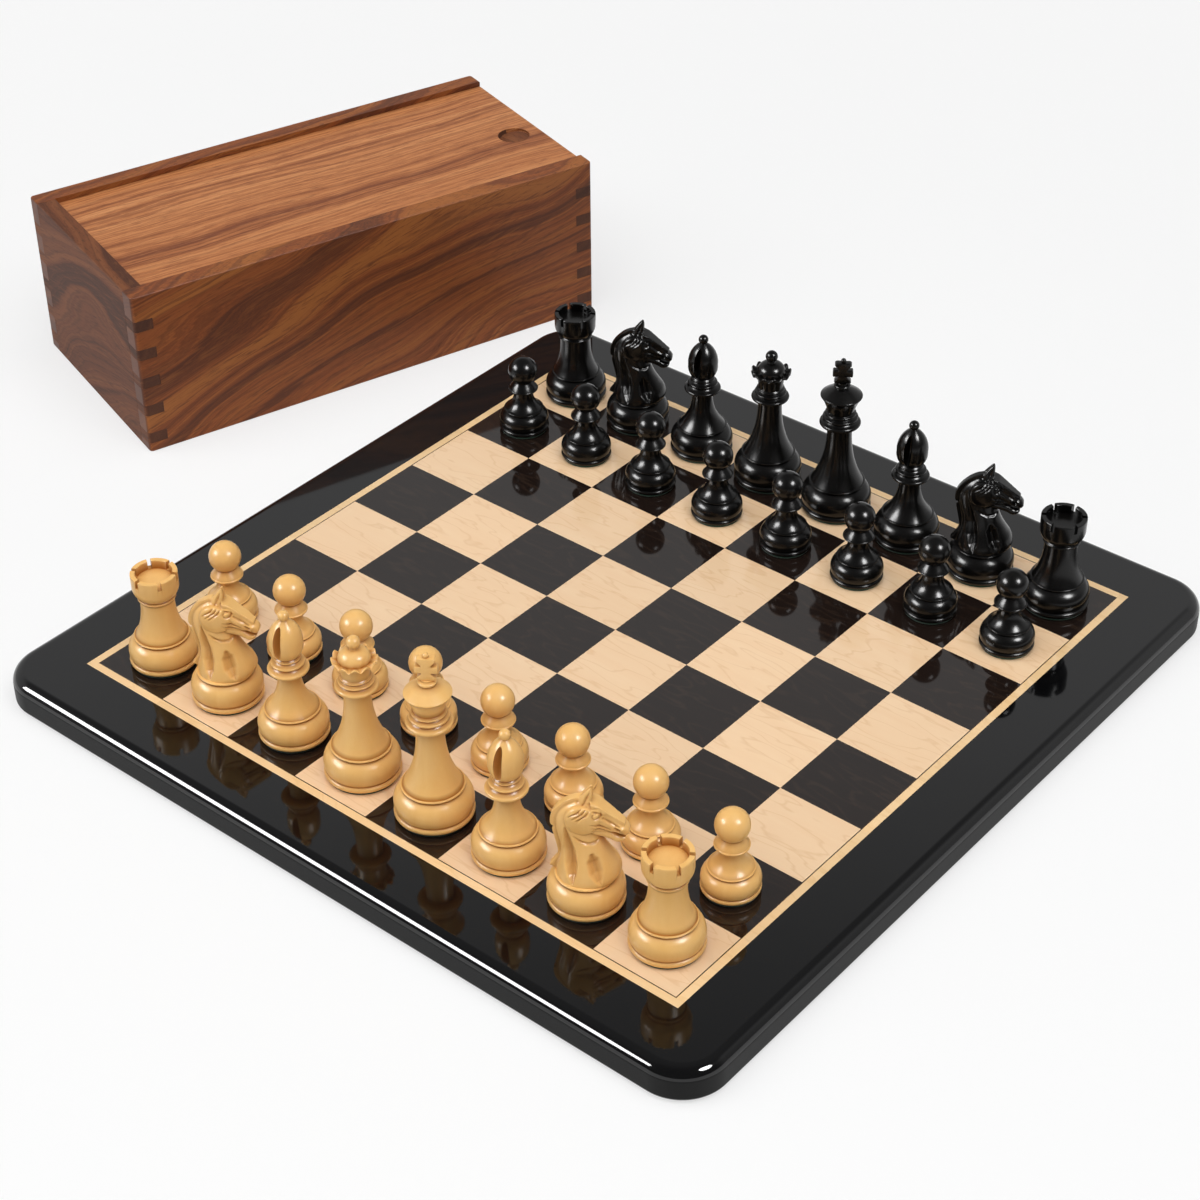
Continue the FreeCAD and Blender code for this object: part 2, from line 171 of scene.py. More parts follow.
def stretch(tree, place, scale, rotation=(0, 0, 0)):
    """Turn a pattern, and draw it out along each axis that has a scale under one."""
    return add(tree, "Mapping", {"Vector": place, "Rotation": rotation, "Scale": scale}).outputs[0]


def noise(tree, place, size, detail, roughness=0.5, distortion=0.0):
    """Cloudy noise with lumps of a size in metres."""
    lumps = {"Scale": 1 / size, "Detail": detail, "Roughness": roughness, "Distortion": distortion}
    return add(tree, "TexNoise", {"Vector": place, **lumps}).outputs["Fac"]


def remap(tree, value, low, high, least=0.0, most=1.0, curve="LINEAR"):
    """Take the range from low to high to the range from least to most."""
    ends = {"From Min": low, "From Max": high, "To Min": least, "To Max": most}
    return add(tree, "MapRange", {"Value": value, **ends}, interpolation_type=curve).outputs["Result"]


def maths(tree, operation, *values):
    """One step of arithmetic on numbers or patterns."""
    return add(tree, "Math", dict(enumerate(values)), operation=operation).outputs[0]


def blend(tree, share, first, second):
    """Mix two colours, each a hex code or a pattern."""
    first, second = (linear(c) if isinstance(c, str) else c for c in (first, second))
    return add(tree, "Mix", {"Factor": share, 6: first, 7: second}, data_type="RGBA").outputs[2]


def emboss(tree, shader, pattern, strength, depth):
    """Let a pattern stand out of the surface by a depth in metres."""
    relief = add(tree, "Bump", {"Height": pattern, "Strength": strength, "Distance": depth})
    tree.links.new(relief.outputs["Normal"], shader.inputs["Normal"])


# %% White studio
paper_light = 0.63
dim_light = 0.22
front_light = 0.12
soft_light = 0.05
backdrop_light = 1.0
front_from, front_to = -0.25, 0.35
overhead_from, overhead_to = 0.60, 0.77

world = bpy.data.worlds.new("white_studio")
bpy.context.scene.world = world
world.use_nodes = True
studio = world.node_tree
sky_way = add(studio, "TexCoord").outputs["Generated"]
camera_side = (-view_forward.x, -view_forward.y, 0)
facing = add(studio, "VectorMath", {0: sky_way, 1: camera_side}, operation="DOT_PRODUCT").outputs["Value"]
around = remap(studio, facing, front_from, front_to, curve="SMOOTHSTEP")
rise = add(studio, "SeparateXYZ", {"Vector": sky_way}).outputs["Z"]
behind = remap(studio, rise, overhead_from, overhead_to, paper_light, dim_light, curve="SMOOTHSTEP")
glow = add(studio, "Mix", {0: around, 2: behind, 3: front_light})
ray = add(studio, "LightPath")
soft = add(studio, "Mix", {0: ray.outputs["Is Diffuse Ray"], 2: glow.outputs[0], 3: soft_light})
seen = add(studio, "Mix", {0: ray.outputs["Is Camera Ray"], 2: soft.outputs[0], 3: backdrop_light})
studio.links.new(seen.outputs[0], studio.nodes["Background"].inputs["Strength"])
studio.nodes["Background"].inputs["Color"].default_value = (1, 1, 1, 1)
bpy.context.scene.view_settings.view_transform = "Standard"
print("studio from", front_light, "to", paper_light)

# %% White table
floor_size = 14.0
white_share = 0.6
white_from, white_to = 0.6, 2.4

bpy.ops.object.select_all(action="DESELECT")
bpy.ops.mesh.primitive_plane_add(size=floor_size, location=(0, 0, 0))
floor = bpy.context.object
floor.name = "table_top"
table_white, tree, shader = start_material("matt_white_table", base_color=linear("#f5f5f5"), roughness=0.7)
speck = add(tree, "TexNoise", {"Scale": 900.0, "Detail": 2.0})
emboss(tree, shader, speck.outputs["Fac"], strength=0.02, depth=0.0005)
look = add(tree, "LightPath")
direct = maths(tree, "ADD", look.outputs["Is Camera Ray"], look.outputs["Is Glossy Ray"])
reach = add(tree, "VectorMath", {0: object_place(tree)}, operation="LENGTH").outputs["Value"]
lifted = maths(tree, "MULTIPLY", direct, remap(tree, reach, white_from, white_to, least=white_share))
white = add(tree, "Emission", {"Strength": 1.0})
both = add(tree, "MixShader", {0: lifted, 1: shader.outputs[0], 2: white.outputs[0]})
tree.links.new(both.outputs[0], tree.nodes["Material Output"].inputs["Surface"])
floor.data.materials.append(table_white)
print("floor", floor_size, "m wide")

# %% [markdown]
# ## Helpers for modelling
# Each piece starts as a primitive and is shaped in edit mode. Operators act on whatever is selected, so every
# piece begins with nothing selected, and faces or edges are picked in code by their place.

# %% Pick up, cut, ease and put down a piece


def fresh():
    """Put down the last piece: object mode, nothing selected, corners as the thing to pick."""
    if bpy.context.object and bpy.context.object.mode != "OBJECT":
        bpy.ops.object.mode_set(mode="OBJECT")
    bpy.ops.object.select_all(action="DESELECT")
    bpy.context.tool_settings.mesh_select_mode = (True, False, False)


def take(piece):
    """Select one piece alone and make it the active one."""
    fresh()
    piece.select_set(True)
    bpy.context.view_layer.objects.active = piece
    return piece


def put_down(name):
    """Leave edit mode, with faces outward and doubled corners merged, and name the piece."""
    bpy.ops.mesh.select_all(action="SELECT")
    bpy.ops.mesh.remove_doubles(threshold=1e-7)
    bpy.ops.mesh.normals_make_consistent(inside=False)
    bpy.ops.object.mode_set(mode="OBJECT")
    piece = bpy.context.object
    piece.name = name
    piece.data.name = name
    return piece


def block(name, low, high):
    """A plain block between two corners, as a start or as a cutter."""
    fresh()
    bpy.ops.mesh.primitive_cube_add(size=1)
    bpy.ops.object.mode_set(mode="EDIT")
    bpy.ops.transform.resize(value=Vector(high) - Vector(low), center_override=(0, 0, 0))
    bpy.ops.transform.translate(value=(Vector(low) + Vector(high)) / 2)
    return put_down(name)


def pick(test):
    """Select, in edit mode, the edges whose two ends pass a test."""
    bpy.ops.mesh.select_mode(type="EDGE")
    bpy.ops.mesh.select_all(action="DESELECT")
    mesh = bmesh.from_edit_mesh(bpy.context.object.data)
    for edge in mesh.edges:
        edge.select_set(test(*(corner.co for corner in edge.verts)))
    mesh.select_flush_mode()
    bmesh.update_edit_mesh(bpy.context.object.data)


def modify(piece, kind, **settings):
    """Put a modifier on a piece and apply it."""
    take(piece)
    step = piece.modifiers.new(kind.lower(), kind)
    for name, value in settings.items():
        setattr(step, name, value)
    bpy.ops.object.modifier_apply(modifier=step.name)
    return piece


def join(pieces, name):
    """Make several pieces one mesh."""
    take(pieces[0])
    for piece in pieces:
        piece.select_set(True)
    bpy.ops.object.join()
    bpy.context.object.name = name
    return bpy.context.object


def trim(piece, cutter, operation="DIFFERENCE"):
    """Cut a piece with another shape, which is used up."""
    modify(piece, "BOOLEAN", object=cutter, operation=operation, solver="EXACT")
    bpy.data.objects.remove(cutter)
    return piece


def smooth(piece, angle=30, weighted=False):
    """Shade round stretches smooth and keep the edges that are sharper than an angle."""
    take(piece)
    bpy.ops.object.shade_smooth_by_angle(angle=math.radians(angle))
    if weighted:
        modify(piece, "WEIGHTED_NORMAL", keep_sharp=True, weight=100)
    return piece


def copy_to(piece, name, place):
    """A copy of a piece with a mesh of its own, moved and turned in its mesh."""
    take(piece)
    bpy.ops.object.duplicate()
    copy = bpy.context.object
    copy.name = name
    copy.data.name = name
    copy.matrix_world = place
    bpy.ops.object.transform_apply(location=True, rotation=True, scale=True)
    return copy


def dress(piece, material, body, slot, *nodes):
    """Give a finished piece its material and its body, and hide the nodes that it stands for; the slot is not
    used.
    """
    piece.data.materials.clear()
    piece.data.materials.append(material)
    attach(piece, body)
    if nodes:
        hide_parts(*nodes)
    return piece


# %% [markdown]
# ## Black lacquer
# The border is sprayed with polyester lacquer and polished. The eye sees a black mirror: all of its colour
# is reflection, and only a very faint waviness and the finest polishing haze tell it from glass. The upright
# edge is only rubbed down, so it shows a soft, even black without mirror images.

# %% Materials: polished and satin black lacquer


def black_lacquer():
    """The polished top: a black mirror with a faint haze and a faint waviness."""
    material, tree, shader = start_material("polished_black_lacquer", base_color=linear("#070708"), ior=1.5)
    place = object_place(tree)
    haze = noise(tree, place, size=0.018, detail=4.0)
    tree.links.new(remap(tree, haze, 0, 1, least=0.03, most=0.07), shader.inputs["Roughness"])
    emboss(tree, shader, noise(tree, place, size=0.045, detail=1.0), strength=0.05, depth=0.001)
    return material


def satin_lacquer():
    """The same lacquer on the upright edge, rubbed down to a satin."""
    material, tree, shader = start_material("satin_black_lacquer", base_color=linear("#0b0b0b"),
                                            roughness=0.45, specular_ior_level=0.15)
    scratch = noise(tree, object_place(tree), size=0.0009, detail=3.0)
    emboss(tree, shader, scratch, strength=0.06, depth=0.0003)
    return material


lacquer = black_lacquer()
satin = satin_lacquer()
print("made", lacquer.name, "and", satin.name)

# %% [markdown]
# ## Border rails
# Four rails meet in mitres round the veneered field. They share one section, so the whole border is shaped as
# a rounded slab, hollowed for the field, and one quarter of it is cut out along the mitres. That rail is
# copied round the board. Its upright faces wear the satin lacquer.

# %% Rails
corner_radius = 0.026
top_round = 0.007
bottom_round = 0.0025
overrun = 0.001
tiny = 1e-5
upright_slant = 0.2
sides = ("front", "right", "back", "left")


def rounded_square(half, bottom):
    """A square face about the Z axis with rounded corners, open in edit mode."""
    fresh()
    bpy.ops.mesh.primitive_plane_add(size=2 * half)
    bpy.ops.object.mode_set(mode="EDIT")
    bpy.ops.transform.translate(value=(0, 0, bottom))
    bpy.ops.mesh.bevel(offset=corner_radius, offset_type="OFFSET", affect="VERTICES", segments=24)


def front_rail():
    """One quarter of the border, with the groove for the core's tongue."""
    low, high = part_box("border_rail_right")
    half = high.x
    rounded_square(half, low.z)
    bpy.ops.mesh.extrude_region_move(TRANSFORM_OT_translate={"value": (0, 0, high.z - low.z)})
    pick(lambda a, b: min(a.z, b.z) > high.z - tiny)
    bpy.ops.mesh.bevel(offset=top_round, affect="EDGES", segments=16)
    pick(lambda a, b: max(a.z, b.z) < low.z + tiny)
    bpy.ops.mesh.bevel(offset=bottom_round, affect="EDGES", segments=6)
    rail = put_down("turned_rail_front")
    core_low, core_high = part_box("board_core")
    inner = low.x
    trim(rail, block("field", (-inner, -inner, low.z - overrun), (inner, inner, high.z + overrun)))
    tongue = [v.co.z for v in frame["nodes"]["board_core"].data.vertices if v.co.x > inner + overrun]
    trim(rail, block("tongue", (*core_low.xy, min(tongue)), (*core_high.xy, max(tongue))))
    take(rail)
    bpy.ops.object.mode_set(mode="EDIT")
    for mitre in ((1, 1, 0), (-1, 1, 0)):
        bpy.ops.mesh.select_all(action="SELECT")
        bpy.ops.mesh.bisect(plane_co=(0, 0, 0), plane_no=mitre, use_fill=True, clear_outer=True)
    return smooth(put_down("turned_rail_front"), 25, weighted=True)


rail = front_rail()
for quarter, side in enumerate(sides):
    turned_rail = copy_to(rail, "lacquered_rail_" + side, Matrix.Rotation(quarter * math.pi / 2, 4, "Z"))
    dress(turned_rail, lacquer, "board", "ebonised_lacquer", "border_rail_" + side)
    turned_rail.data.materials.append(satin)
    for face in turned_rail.data.polygons:
        face.material_index = int(abs(face.normal.z) < upright_slant)
bpy.data.objects.remove(rail)
print("four rails of", len(turned_rail.data.polygons), "faces")

# %% [markdown]
# ## Veneers of the field
# The squares, the hair line and the pale strip are flat leaves under one coat of clear lacquer. Their CAD
# shapes are right as they are, so they only need their woods. Each square is cut from another part of the
# leaf: the pattern is shifted by a random step that is the same all over one square. The felt under the board
# and the core inside it keep their CAD shapes too.

# %% Materials: maple and black-dyed veneer
squares_across = 8
square_side = (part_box("dark_squares")[1].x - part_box("dark_squares")[0].x) / squares_across
leaf_jump = 3.0


def veneer(name, pale, deep, line, line_share, fibre, roughness):
    """A veneer leaf under clear lacquer: a soft flame, a fine fibre and a few dark growth lines."""
    material, tree, shader = start_material(name, ior=1.5, roughness=roughness, specular_ior_level=0.0,
                                            coat_weight=1.0, coat_roughness=0.05)
    place = object_place(tree)
    shares = add(tree, "VectorMath", {0: place, 1: (square_side,) * 3}, operation="DIVIDE")
    cell = add(tree, "VectorMath", {0: shares.outputs[0]}, operation="FLOOR")
    luck = add(tree, "TexWhiteNoise", {"Vector": cell.outputs[0]}, noise_dimensions="2D")
    jump = add(tree, "VectorMath", {0: luck.outputs["Color"], "Scale": leaf_jump}, operation="SCALE")
    leaf = add(tree, "VectorMath", {0: place, 1: jump.outputs[0]}, operation="ADD").outputs[0]
    along = stretch(tree, leaf, scale=(0.12, 1.0, 1.0))
    flame = noise(tree, along, size=0.012, detail=3.0, distortion=0.8)
    grain = noise(tree, along, size=fibre, detail=2.0)
    rings = noise(tree, stretch(tree, leaf, scale=(0.22, 1.0, 1.0)), size=0.022, detail=3.0, distortion=0.2)
    thin = remap(tree, maths(tree, "PINGPONG", rings, 0.05), 0.012, 0.0)
    colour = blend(tree, flame, pale, deep)
    colour = blend(tree, maths(tree, "MULTIPLY", grain, 0.35), colour, deep)
    colour = blend(tree, maths(tree, "MULTIPLY", thin, line_share), colour, line)
    tone = remap(tree, luck.outputs["Value"], 0, 1, least=0.94, most=1.04)
    toned = add(tree, "VectorMath", {0: colour, "Scale": tone}, operation="SCALE")
    tree.links.new(toned.outputs[0], shader.inputs["Base Color"])
    return material


maple = veneer("lacquered_maple_veneer", "#f8dab4", "#efc89e", "#d09e69", 0.28, 0.0016, 0.35)
dark_veneer = veneer("lacquered_black_veneer", "#17110f", "#211814", "#3a2c23", 0.40, 0.0012, 0.35)
inlay_maple = veneer("lacquered_maple_strip", "#f7d7a8", "#efc68f", "#d2a468", 0.20, 0.0016, 0.35)
hair_line = veneer("dyed_hair_line", "#3a2617", "#2c1b10", "#20130b", 0.20, 0.0010, 0.35)
print("made", maple.name, dark_veneer.name, inlay_maple.name, "and", hair_line.name)

# %% Materials: felt and fibreboard


def wool_felt():
    """Pressed wool felt: no gloss, a soft nap and small lumps."""
    material, tree, shader = start_material("green_wool_felt", roughness=0.95, ior=1.4, sheen_weight=0.3)
    nap = noise(tree, object_place(tree), size=0.0009, detail=4.0, roughness=0.7)
    tree.links.new(blend(tree, nap, "#0d2f20", "#184a33"), shader.inputs["Base Color"])
    emboss(tree, shader, nap, strength=0.6, depth=0.0004)
    return material


def fibreboard():
    """Sealed fibreboard: pressed chips of brown wood flour."""
    material, tree, shader = start_material("sealed_fibreboard", roughness=0.7)
    chips = noise(tree, object_place(tree), size=0.0012, detail=5.0, roughness=0.7)
    tree.links.new(blend(tree, chips, "#8d7050", "#b0906a"), shader.inputs["Base Color"])
    return material


green_felt = wool_felt()
flat_pieces = {"light_squares": maple, "dark_squares": dark_veneer, "inlay_strips": inlay_maple,
               "stringing": hair_line, "baize_underside": green_felt, "board_core": fibreboard()}
for node, material in flat_pieces.items():
    flat_mesh = frame["nodes"][node].data
    flat_mesh.materials.clear()
    flat_mesh.materials.append(material)
    print(node, "wears", material.name)

# %% [markdown]
# ## Woods of the men
# The white men are boxwood: dense, pale gold and polished to a satin. Their colour deepens in every groove,
# partly from stain and wax that gather there and partly as painted shade, so each mesh carries an attribute
# that says how deep in a groove each corner lies. The wood is also painted darker and browner where other parts
# of the same man stand close: painted shade in the wider hollows. The black men are the same wood, ebonised and
# buffed, and show little but their highlights.

# %% Materials: boxwood and ebonised boxwood


def turned_wood(name, pale, deep, groove, roughness, gloss, line_share):
    """Close-grained wood turned on a lathe, with painted shade in its hollows and grooves, and wax in the
    grooves.
    """
    material, tree, shader = start_material(name, roughness=roughness, ior=1.5, specular_ior_level=gloss)
    along = stretch(tree, object_place(tree), scale=(1.0, 1.0, 0.06), rotation=(0.05, 0.08, 0.4))
    cloud = noise(tree, along, size=0.009, detail=2.0, distortion=0.6)
    fibre = noise(tree, along, size=0.0007, detail=2.0)
    # Painted shade: darker towards the groove colour where other parts of the same man stand close
    self_occlusion = add(tree, "AmbientOcclusion", {"Distance": 0.012}, samples=8, only_local=True)
    painted_hollow_shade = remap(tree, self_occlusion.outputs["AO"], 0.95, 0.35, most=0.7)
    depth = add(tree, "Attribute", attribute_name="groove")
    colour = blend(tree, cloud, pale, deep)
    colour = blend(tree, maths(tree, "MULTIPLY", fibre, line_share), colour, deep)
    colour = blend(tree, painted_hollow_shade, colour, groove)
    # Wax in the grooves and painted shade: darker towards the groove colour by how deep each corner lies
    colour = blend(tree, depth.outputs["Fac"], colour, groove)
    tree.links.new(colour, shader.inputs["Base Color"])
    return material


# The third colour is the painted shade of hollows and grooves, and of the wax in the grooves
boxwood = turned_wood("satin_boxwood", "#fbcf88", "#f0b869", "#b06d28", 0.28, 0.24, 0.45)
ebony = turned_wood("polished_ebonised_boxwood", "#080707", "#0b0a09", "#040303", 0.23, 0.28, 0.25)
woods = {"white": (boxwood, "boxwood"), "black": (ebony, "ebonised_boxwood")}
print("made", boxwood.name, "and", ebony.name)

# %% [markdown]
# ## Turned men
# A turner works to an outline, and so does this: half of the outline is drawn by extruding one corner from
# point to point, and spun round the axis. The rows below give radius, height and bow of each stretch, where
# the bow is the rise of an arc as a share of its chord. Radii are shares of the base radius. Heights are
# shares of the base radius on the foot that all men have alike, and of the man's height above it.

# %% Outline, spin and groove colour
felt_thickness = 0.0015
# The widest bulge of a spun foot, as a share of the size it is drawn to
bulge_share = 0.995
FLARE = "flare"
flare_power = 2.6
foot_shares = [
    (0, 0, 0),
    (0.945, 0, 0),
    (0.955, 0.155, 0.3),
    (0.935, 0.165, 0),
    (0.72, 0.822, 0.215),
    (0.735, 0.832, 0),
    (0.772, 0.842, 0),
    (0.772, 0.895, 0.45),
    (0.742, 0.902, 0),
]


def outline_points(rows, finest=math.radians(11), flare_steps=16):
    """Follow rows of radius, height and bow, with enough points on every round stretch."""
    points = [Vector((rows[0][0], 0, rows[0][1]))]
    for (r0, z0, _), (r1, z1, bow) in zip(rows, rows[1:]):
        start, end = Vector((r0, 0, z0)), Vector((r1, 0, z1))
        chord = end - start
        if bow == FLARE:
            for step in range(1, flare_steps + 1):
                t = step / flare_steps
                points.append(Vector((r1 + (r0 - r1) * (1 - t) ** flare_power, 0, z0 + chord.z * t)))
        elif bow:
            half = 2 * math.atan(2 * abs(bow))
            out = Vector((chord.z, 0, -chord.x)).normalized() * math.copysign(1, bow)
            radius = chord.length / 2 / math.sin(half)
            count = max(2, math.ceil(2 * half / finest))
            for step in range(1, count + 1):
                angle = half * (2 * step / count - 1)
                along = (math.sin(angle) / math.sin(half) + 1) / 2
                points.append(start + chord * along + out * radius * (math.cos(angle) - math.cos(half)))
        else:
            points.append(end)
    return points


def draw(points):
    """Draw a line of edges by extruding one corner from point to point; stays in edit mode."""
    fresh()
    bpy.ops.mesh.primitive_plane_add(size=0.001)
    bpy.ops.object.mode_set(mode="EDIT")
    bpy.ops.mesh.merge(type="CENTER")
    here = Vector((0, 0, 0))
    for number, point in enumerate(points):
        if number:
            bpy.ops.mesh.extrude_region_move(TRANSFORM_OT_translate={"value": point - here})
        else:
            bpy.ops.transform.translate(value=point - here)
        here = point


def spin(name, points, steps=96):
    """Turn an outline round the Z axis."""
    draw(points)
    bpy.ops.mesh.select_all(action="SELECT")
    bpy.ops.mesh.spin(steps=steps, angle=2 * math.pi, center=(0, 0, 0), axis=(0, 0, 1))
    return put_down(name)


def ball_rows(radius, neck, top):
    """The rows of a ball that stands on a neck and ends at a height."""
    foot = top - radius - math.sqrt(radius ** 2 - neck ** 2)
    chord = math.hypot(neck, top - foot)
    half = math.asin(chord / 2 / radius)
    return [(neck, foot, 0), (0, top, radius * (1 - math.cos(half)) / chord)]


def man(name, base, height, upper_shares, top_rows, steps=96):
    """The turned wood of a man on the Z axis, standing on its felt."""
    radius = base / 2
    rows = [(r * radius, felt_thickness + z * radius, bow) for r, z, bow in foot_shares]
    rows += [(r * radius, z * height, bow) for r, z, bow in upper_shares]
    return spin(name, outline_points(rows + top_rows), steps)


def mark_grooves(piece, rounds=10, deepest=0.00030):
    """Set how far each corner lies below a smoothed surface, as the attribute by which the wood darkens for wax
    and painted shade.
    """
    mesh = piece.data
    places, slants = np.empty(len(mesh.vertices) * 3), np.empty(len(mesh.vertices) * 3)
    ends = np.empty(len(mesh.edges) * 2, int)
    mesh.vertices.foreach_get("co", places)
    mesh.vertices.foreach_get("normal", slants)
    mesh.edges.foreach_get("vertices", ends)
    places, slants, ends = places.reshape(-1, 3), slants.reshape(-1, 3), ends.reshape(-1, 2)
    pull = 1 / np.sum((places[ends[:, 0]] - places[ends[:, 1]]) ** 2, axis=1)
    total_pull = np.bincount(ends.ravel(), np.repeat(pull, 2), len(places))[:, None]
    soft = places
    for _ in range(rounds):
        total = np.zeros_like(soft)
        np.add.at(total, ends[:, 0], soft[ends[:, 1]] * pull[:, None])
        np.add.at(total, ends[:, 1], soft[ends[:, 0]] * pull[:, None])
        soft = (soft + total / total_pull) / 2
    below = ((soft - places) * slants).sum(axis=1) / deepest
    mesh.attributes.new("groove", "FLOAT", "POINT").data.foreach_set("value", np.clip(below, 0, 1))
    return piece


def man_size(node, top=None):
    """Base and height of a man from his node, and from the node on top of him if he has one."""
    low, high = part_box(node)
    if top:
        high.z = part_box(top)[1].z
    return high.x - low.x, high.z - low.z


def turned_size(node, top=None):
    """Base and height to draw a man's outline to."""
    base, height = man_size(node, top)
    return base / bulge_share, height


# %% Pawn
pawn_shares = [
    (0.38, 0.535, FLARE),
    (0.55, 0.562, -0.1),
    (0.55, 0.592, 0.45),
    (0.38, 0.668, 0.04),
]
pawn_ball_share = 0.585
pawn_neck_share = 0.36


def pawn():
    """A flared body with a collar under a ball."""
    base, height = turned_size("white_pawn_a")
    top = ball_rows(base / 2 * pawn_ball_share, base / 2 * pawn_neck_share, height)
    return man("pawn", base, height, pawn_shares, top)


# %% Rook
rook_shares = [
    (0.485, 0.715, FLARE),
    (0.51, 0.72, 0),
    (0.51, 0.745, 0.45),
    (0.50, 0.75, 0),
    (0.665, 0.845, 0.1),
    (0.67, 0.985, 0),
    (0.655, 1.0, 0.1),
    (0.535, 1.0, 0),
    (0.52, 0.99, 0.1),
]
battlement_depth = 0.005
merlon_gap = 0.0022
merlon_depth = 0.0046
merlon_count = 6
well_ring_shares = (1, 0.94, 0.8, 0.4, 0)


def rook():
    """A tower with a sunk top, its rim cut into merlons."""
    base, height = turned_size("white_rook_a")
    well = base / 2 * rook_shares[-1][0]
    sunk_top = [(well * share, height - battlement_depth, 0) for share in well_ring_shares]
    tower = man("rook", base, height, rook_shares, sunk_top)
    cuts = merlon_count // 2
    low = (-base, -merlon_gap / 2, height - merlon_depth)
    high = (base, merlon_gap / 2, height + overrun)
    for number in range(cuts):
        take(block("bar", low, high))
        bpy.ops.object.mode_set(mode="EDIT")
        bpy.ops.mesh.select_all(action="SELECT")
        angle = math.pi * (number + 0.5) / cuts
        bpy.ops.transform.rotate(value=angle, orient_axis="Z", center_override=(0, 0, 0))
        trim(tower, put_down("bar"))
    return tower


# %% Queen
coronet_rim_share = 0.857
queen_shares = [
    (0.345, 0.632, FLARE),
    (0.50, 0.640, 0),
    (0.50, 0.666, 0.45),
    (0.42, 0.676, -0.08),
    (0.43, 0.683, 0),
    (0.43, 0.699, 0.45),
    (0.375, 0.707, -0.06),
    (0.385, 0.712, 0),
    (0.385, 0.724, 0.45),
    (0.36, 0.73, 0),
    (0.38, 0.782, -0.03),
    (0.565, 0.842, -0.16),
    (0.56, coronet_rim_share, 0.4),
    (0.42, 0.838, 0),
    (0.125, 0.915, 0.2),
]
queen_ball_share = 0.178
ball_neck_share = 0.11
coronet_points = 12
steps_per_point = 12
scallop_depth = 0.0024
scallop_power = 1.3
lobe_draw = 0.05
coronet_foot_share = 0.80
coronet_wall_share = 0.43


def queen():
    """A slender body with a flared coronet, scalloped into lobes round a low dome and a ball."""
    base, height = turned_size("white_queen")
    top = ball_rows(base / 2 * queen_ball_share, base / 2 * ball_neck_share, height)
    lady = man("queen", base, height, queen_shares, top, steps=steps_per_point * coronet_points)
    rim = height * coronet_rim_share
    foot = height * coronet_foot_share
    inside = base / 2 * coronet_wall_share
    for corner in lady.data.vertices:
        if corner.co.xy.length < inside or not foot <= corner.co.z <= rim + overrun:
            continue
        share = (corner.co.z - foot) / (rim - foot)
        swing = math.cos(coronet_points * math.atan2(corner.co.y, corner.co.x))
        dip = share * (0.5 + 0.5 * swing) ** scallop_power
        corner.co.z -= scallop_depth * dip
        corner.co.xy *= 1 - lobe_draw * dip
    return lady


# %% Bishop
bishop_shares = [
    (0.32, 0.525, FLARE),
    (0.525, 0.534, 0),
    (0.525, 0.562, 0.45),
    (0.42, 0.58, -0.08),
    (0.43, 0.588, 0),
    (0.43, 0.608, 0.45),
    (0.345, 0.622, -0.08),
    (0.35, 0.628, 0),
    (0.35, 0.642, 0.45),
    (0.32, 0.65, 0),
    (0.47, 0.75, 0.12),
    (0.11, 0.934, 0.14),
]
bishop_ball_share = 0.155
mitre_cut = 0.0046
mitre_cut_length = 0.021
mitre_cut_reach = 0.010
mitre_cut_height_share = 0.79
mitre_cut_out_share = 0.42
mitre_cut_lean = math.radians(12)


def bishop():
    """The bishop, with the leaf-shaped cut in his mitre."""
    base, height = turned_size("white_bishop_c")
    top = ball_rows(base / 2 * bishop_ball_share, base / 2 * ball_neck_share, height)
    churchman = man("bishop", base, height, bishop_shares, top)
    fresh()
    bpy.ops.mesh.primitive_uv_sphere_add(segments=48, ring_count=32, radius=0.5)
    bpy.ops.object.mode_set(mode="EDIT")
    bpy.ops.transform.resize(value=(mitre_cut_reach, mitre_cut, mitre_cut_length), center_override=(0, 0, 0))
    bpy.ops.transform.rotate(value=mitre_cut_lean, orient_axis="Y", center_override=(0, 0, 0))
    place = (base / 2 * mitre_cut_out_share, 0, height * mitre_cut_height_share)
    bpy.ops.transform.translate(value=place)
    return trim(churchman, put_down("mitre_cutter"))


# %% King and his cross
king_shares = [
    (0.345, 0.565, FLARE),
    (0.52, 0.572, 0),
    (0.52, 0.598, 0.45),
    (0.45, 0.608, -0.08),
    (0.46, 0.614, 0),
    (0.46, 0.630, 0.45),
    (0.40, 0.638, -0.06),
    (0.41, 0.642, 0),
    (0.41, 0.654, 0.45),
    (0.375, 0.66, 0),
    (0.568, 0.757, -0.05),
    (0.57, 0.768, 0.3),
    (0.20, 0.814, 0.04),
    (0.19, 0.818, 0),
    (0.195, 0.836, 0.45),
    (0.15, 0.84, 0),
    (0.15, 0.848, 0),
]
cross_shares = [
    (0.66, 0),
    (0.84, 0.05),
    (0.82, 0.10),
    (0.42, 0.29),
    (0.42, 0.34),
    (0.92, 0.32),
    (1.0, 0.37),
    (1.0, 0.59),
    (0.92, 0.64),
    (0.42, 0.62),
    (0.42, 0.67),
    (0.82, 0.89),
    (0.84, 0.95),
    (0.66, 1.0),
]
cross_width_share = 0.28
cross_thickness = 0.0044
cross_ball = 0.0015
cross_ease = 0.0004


def king():
    """The tallest man, with a flower-pot crown under a low cone that carries the cross."""
    base, height = turned_size("white_king", "white_king_cross")
    return man("king", base, height, king_shares, [(0, height * king_shares[-1][1], 0)])


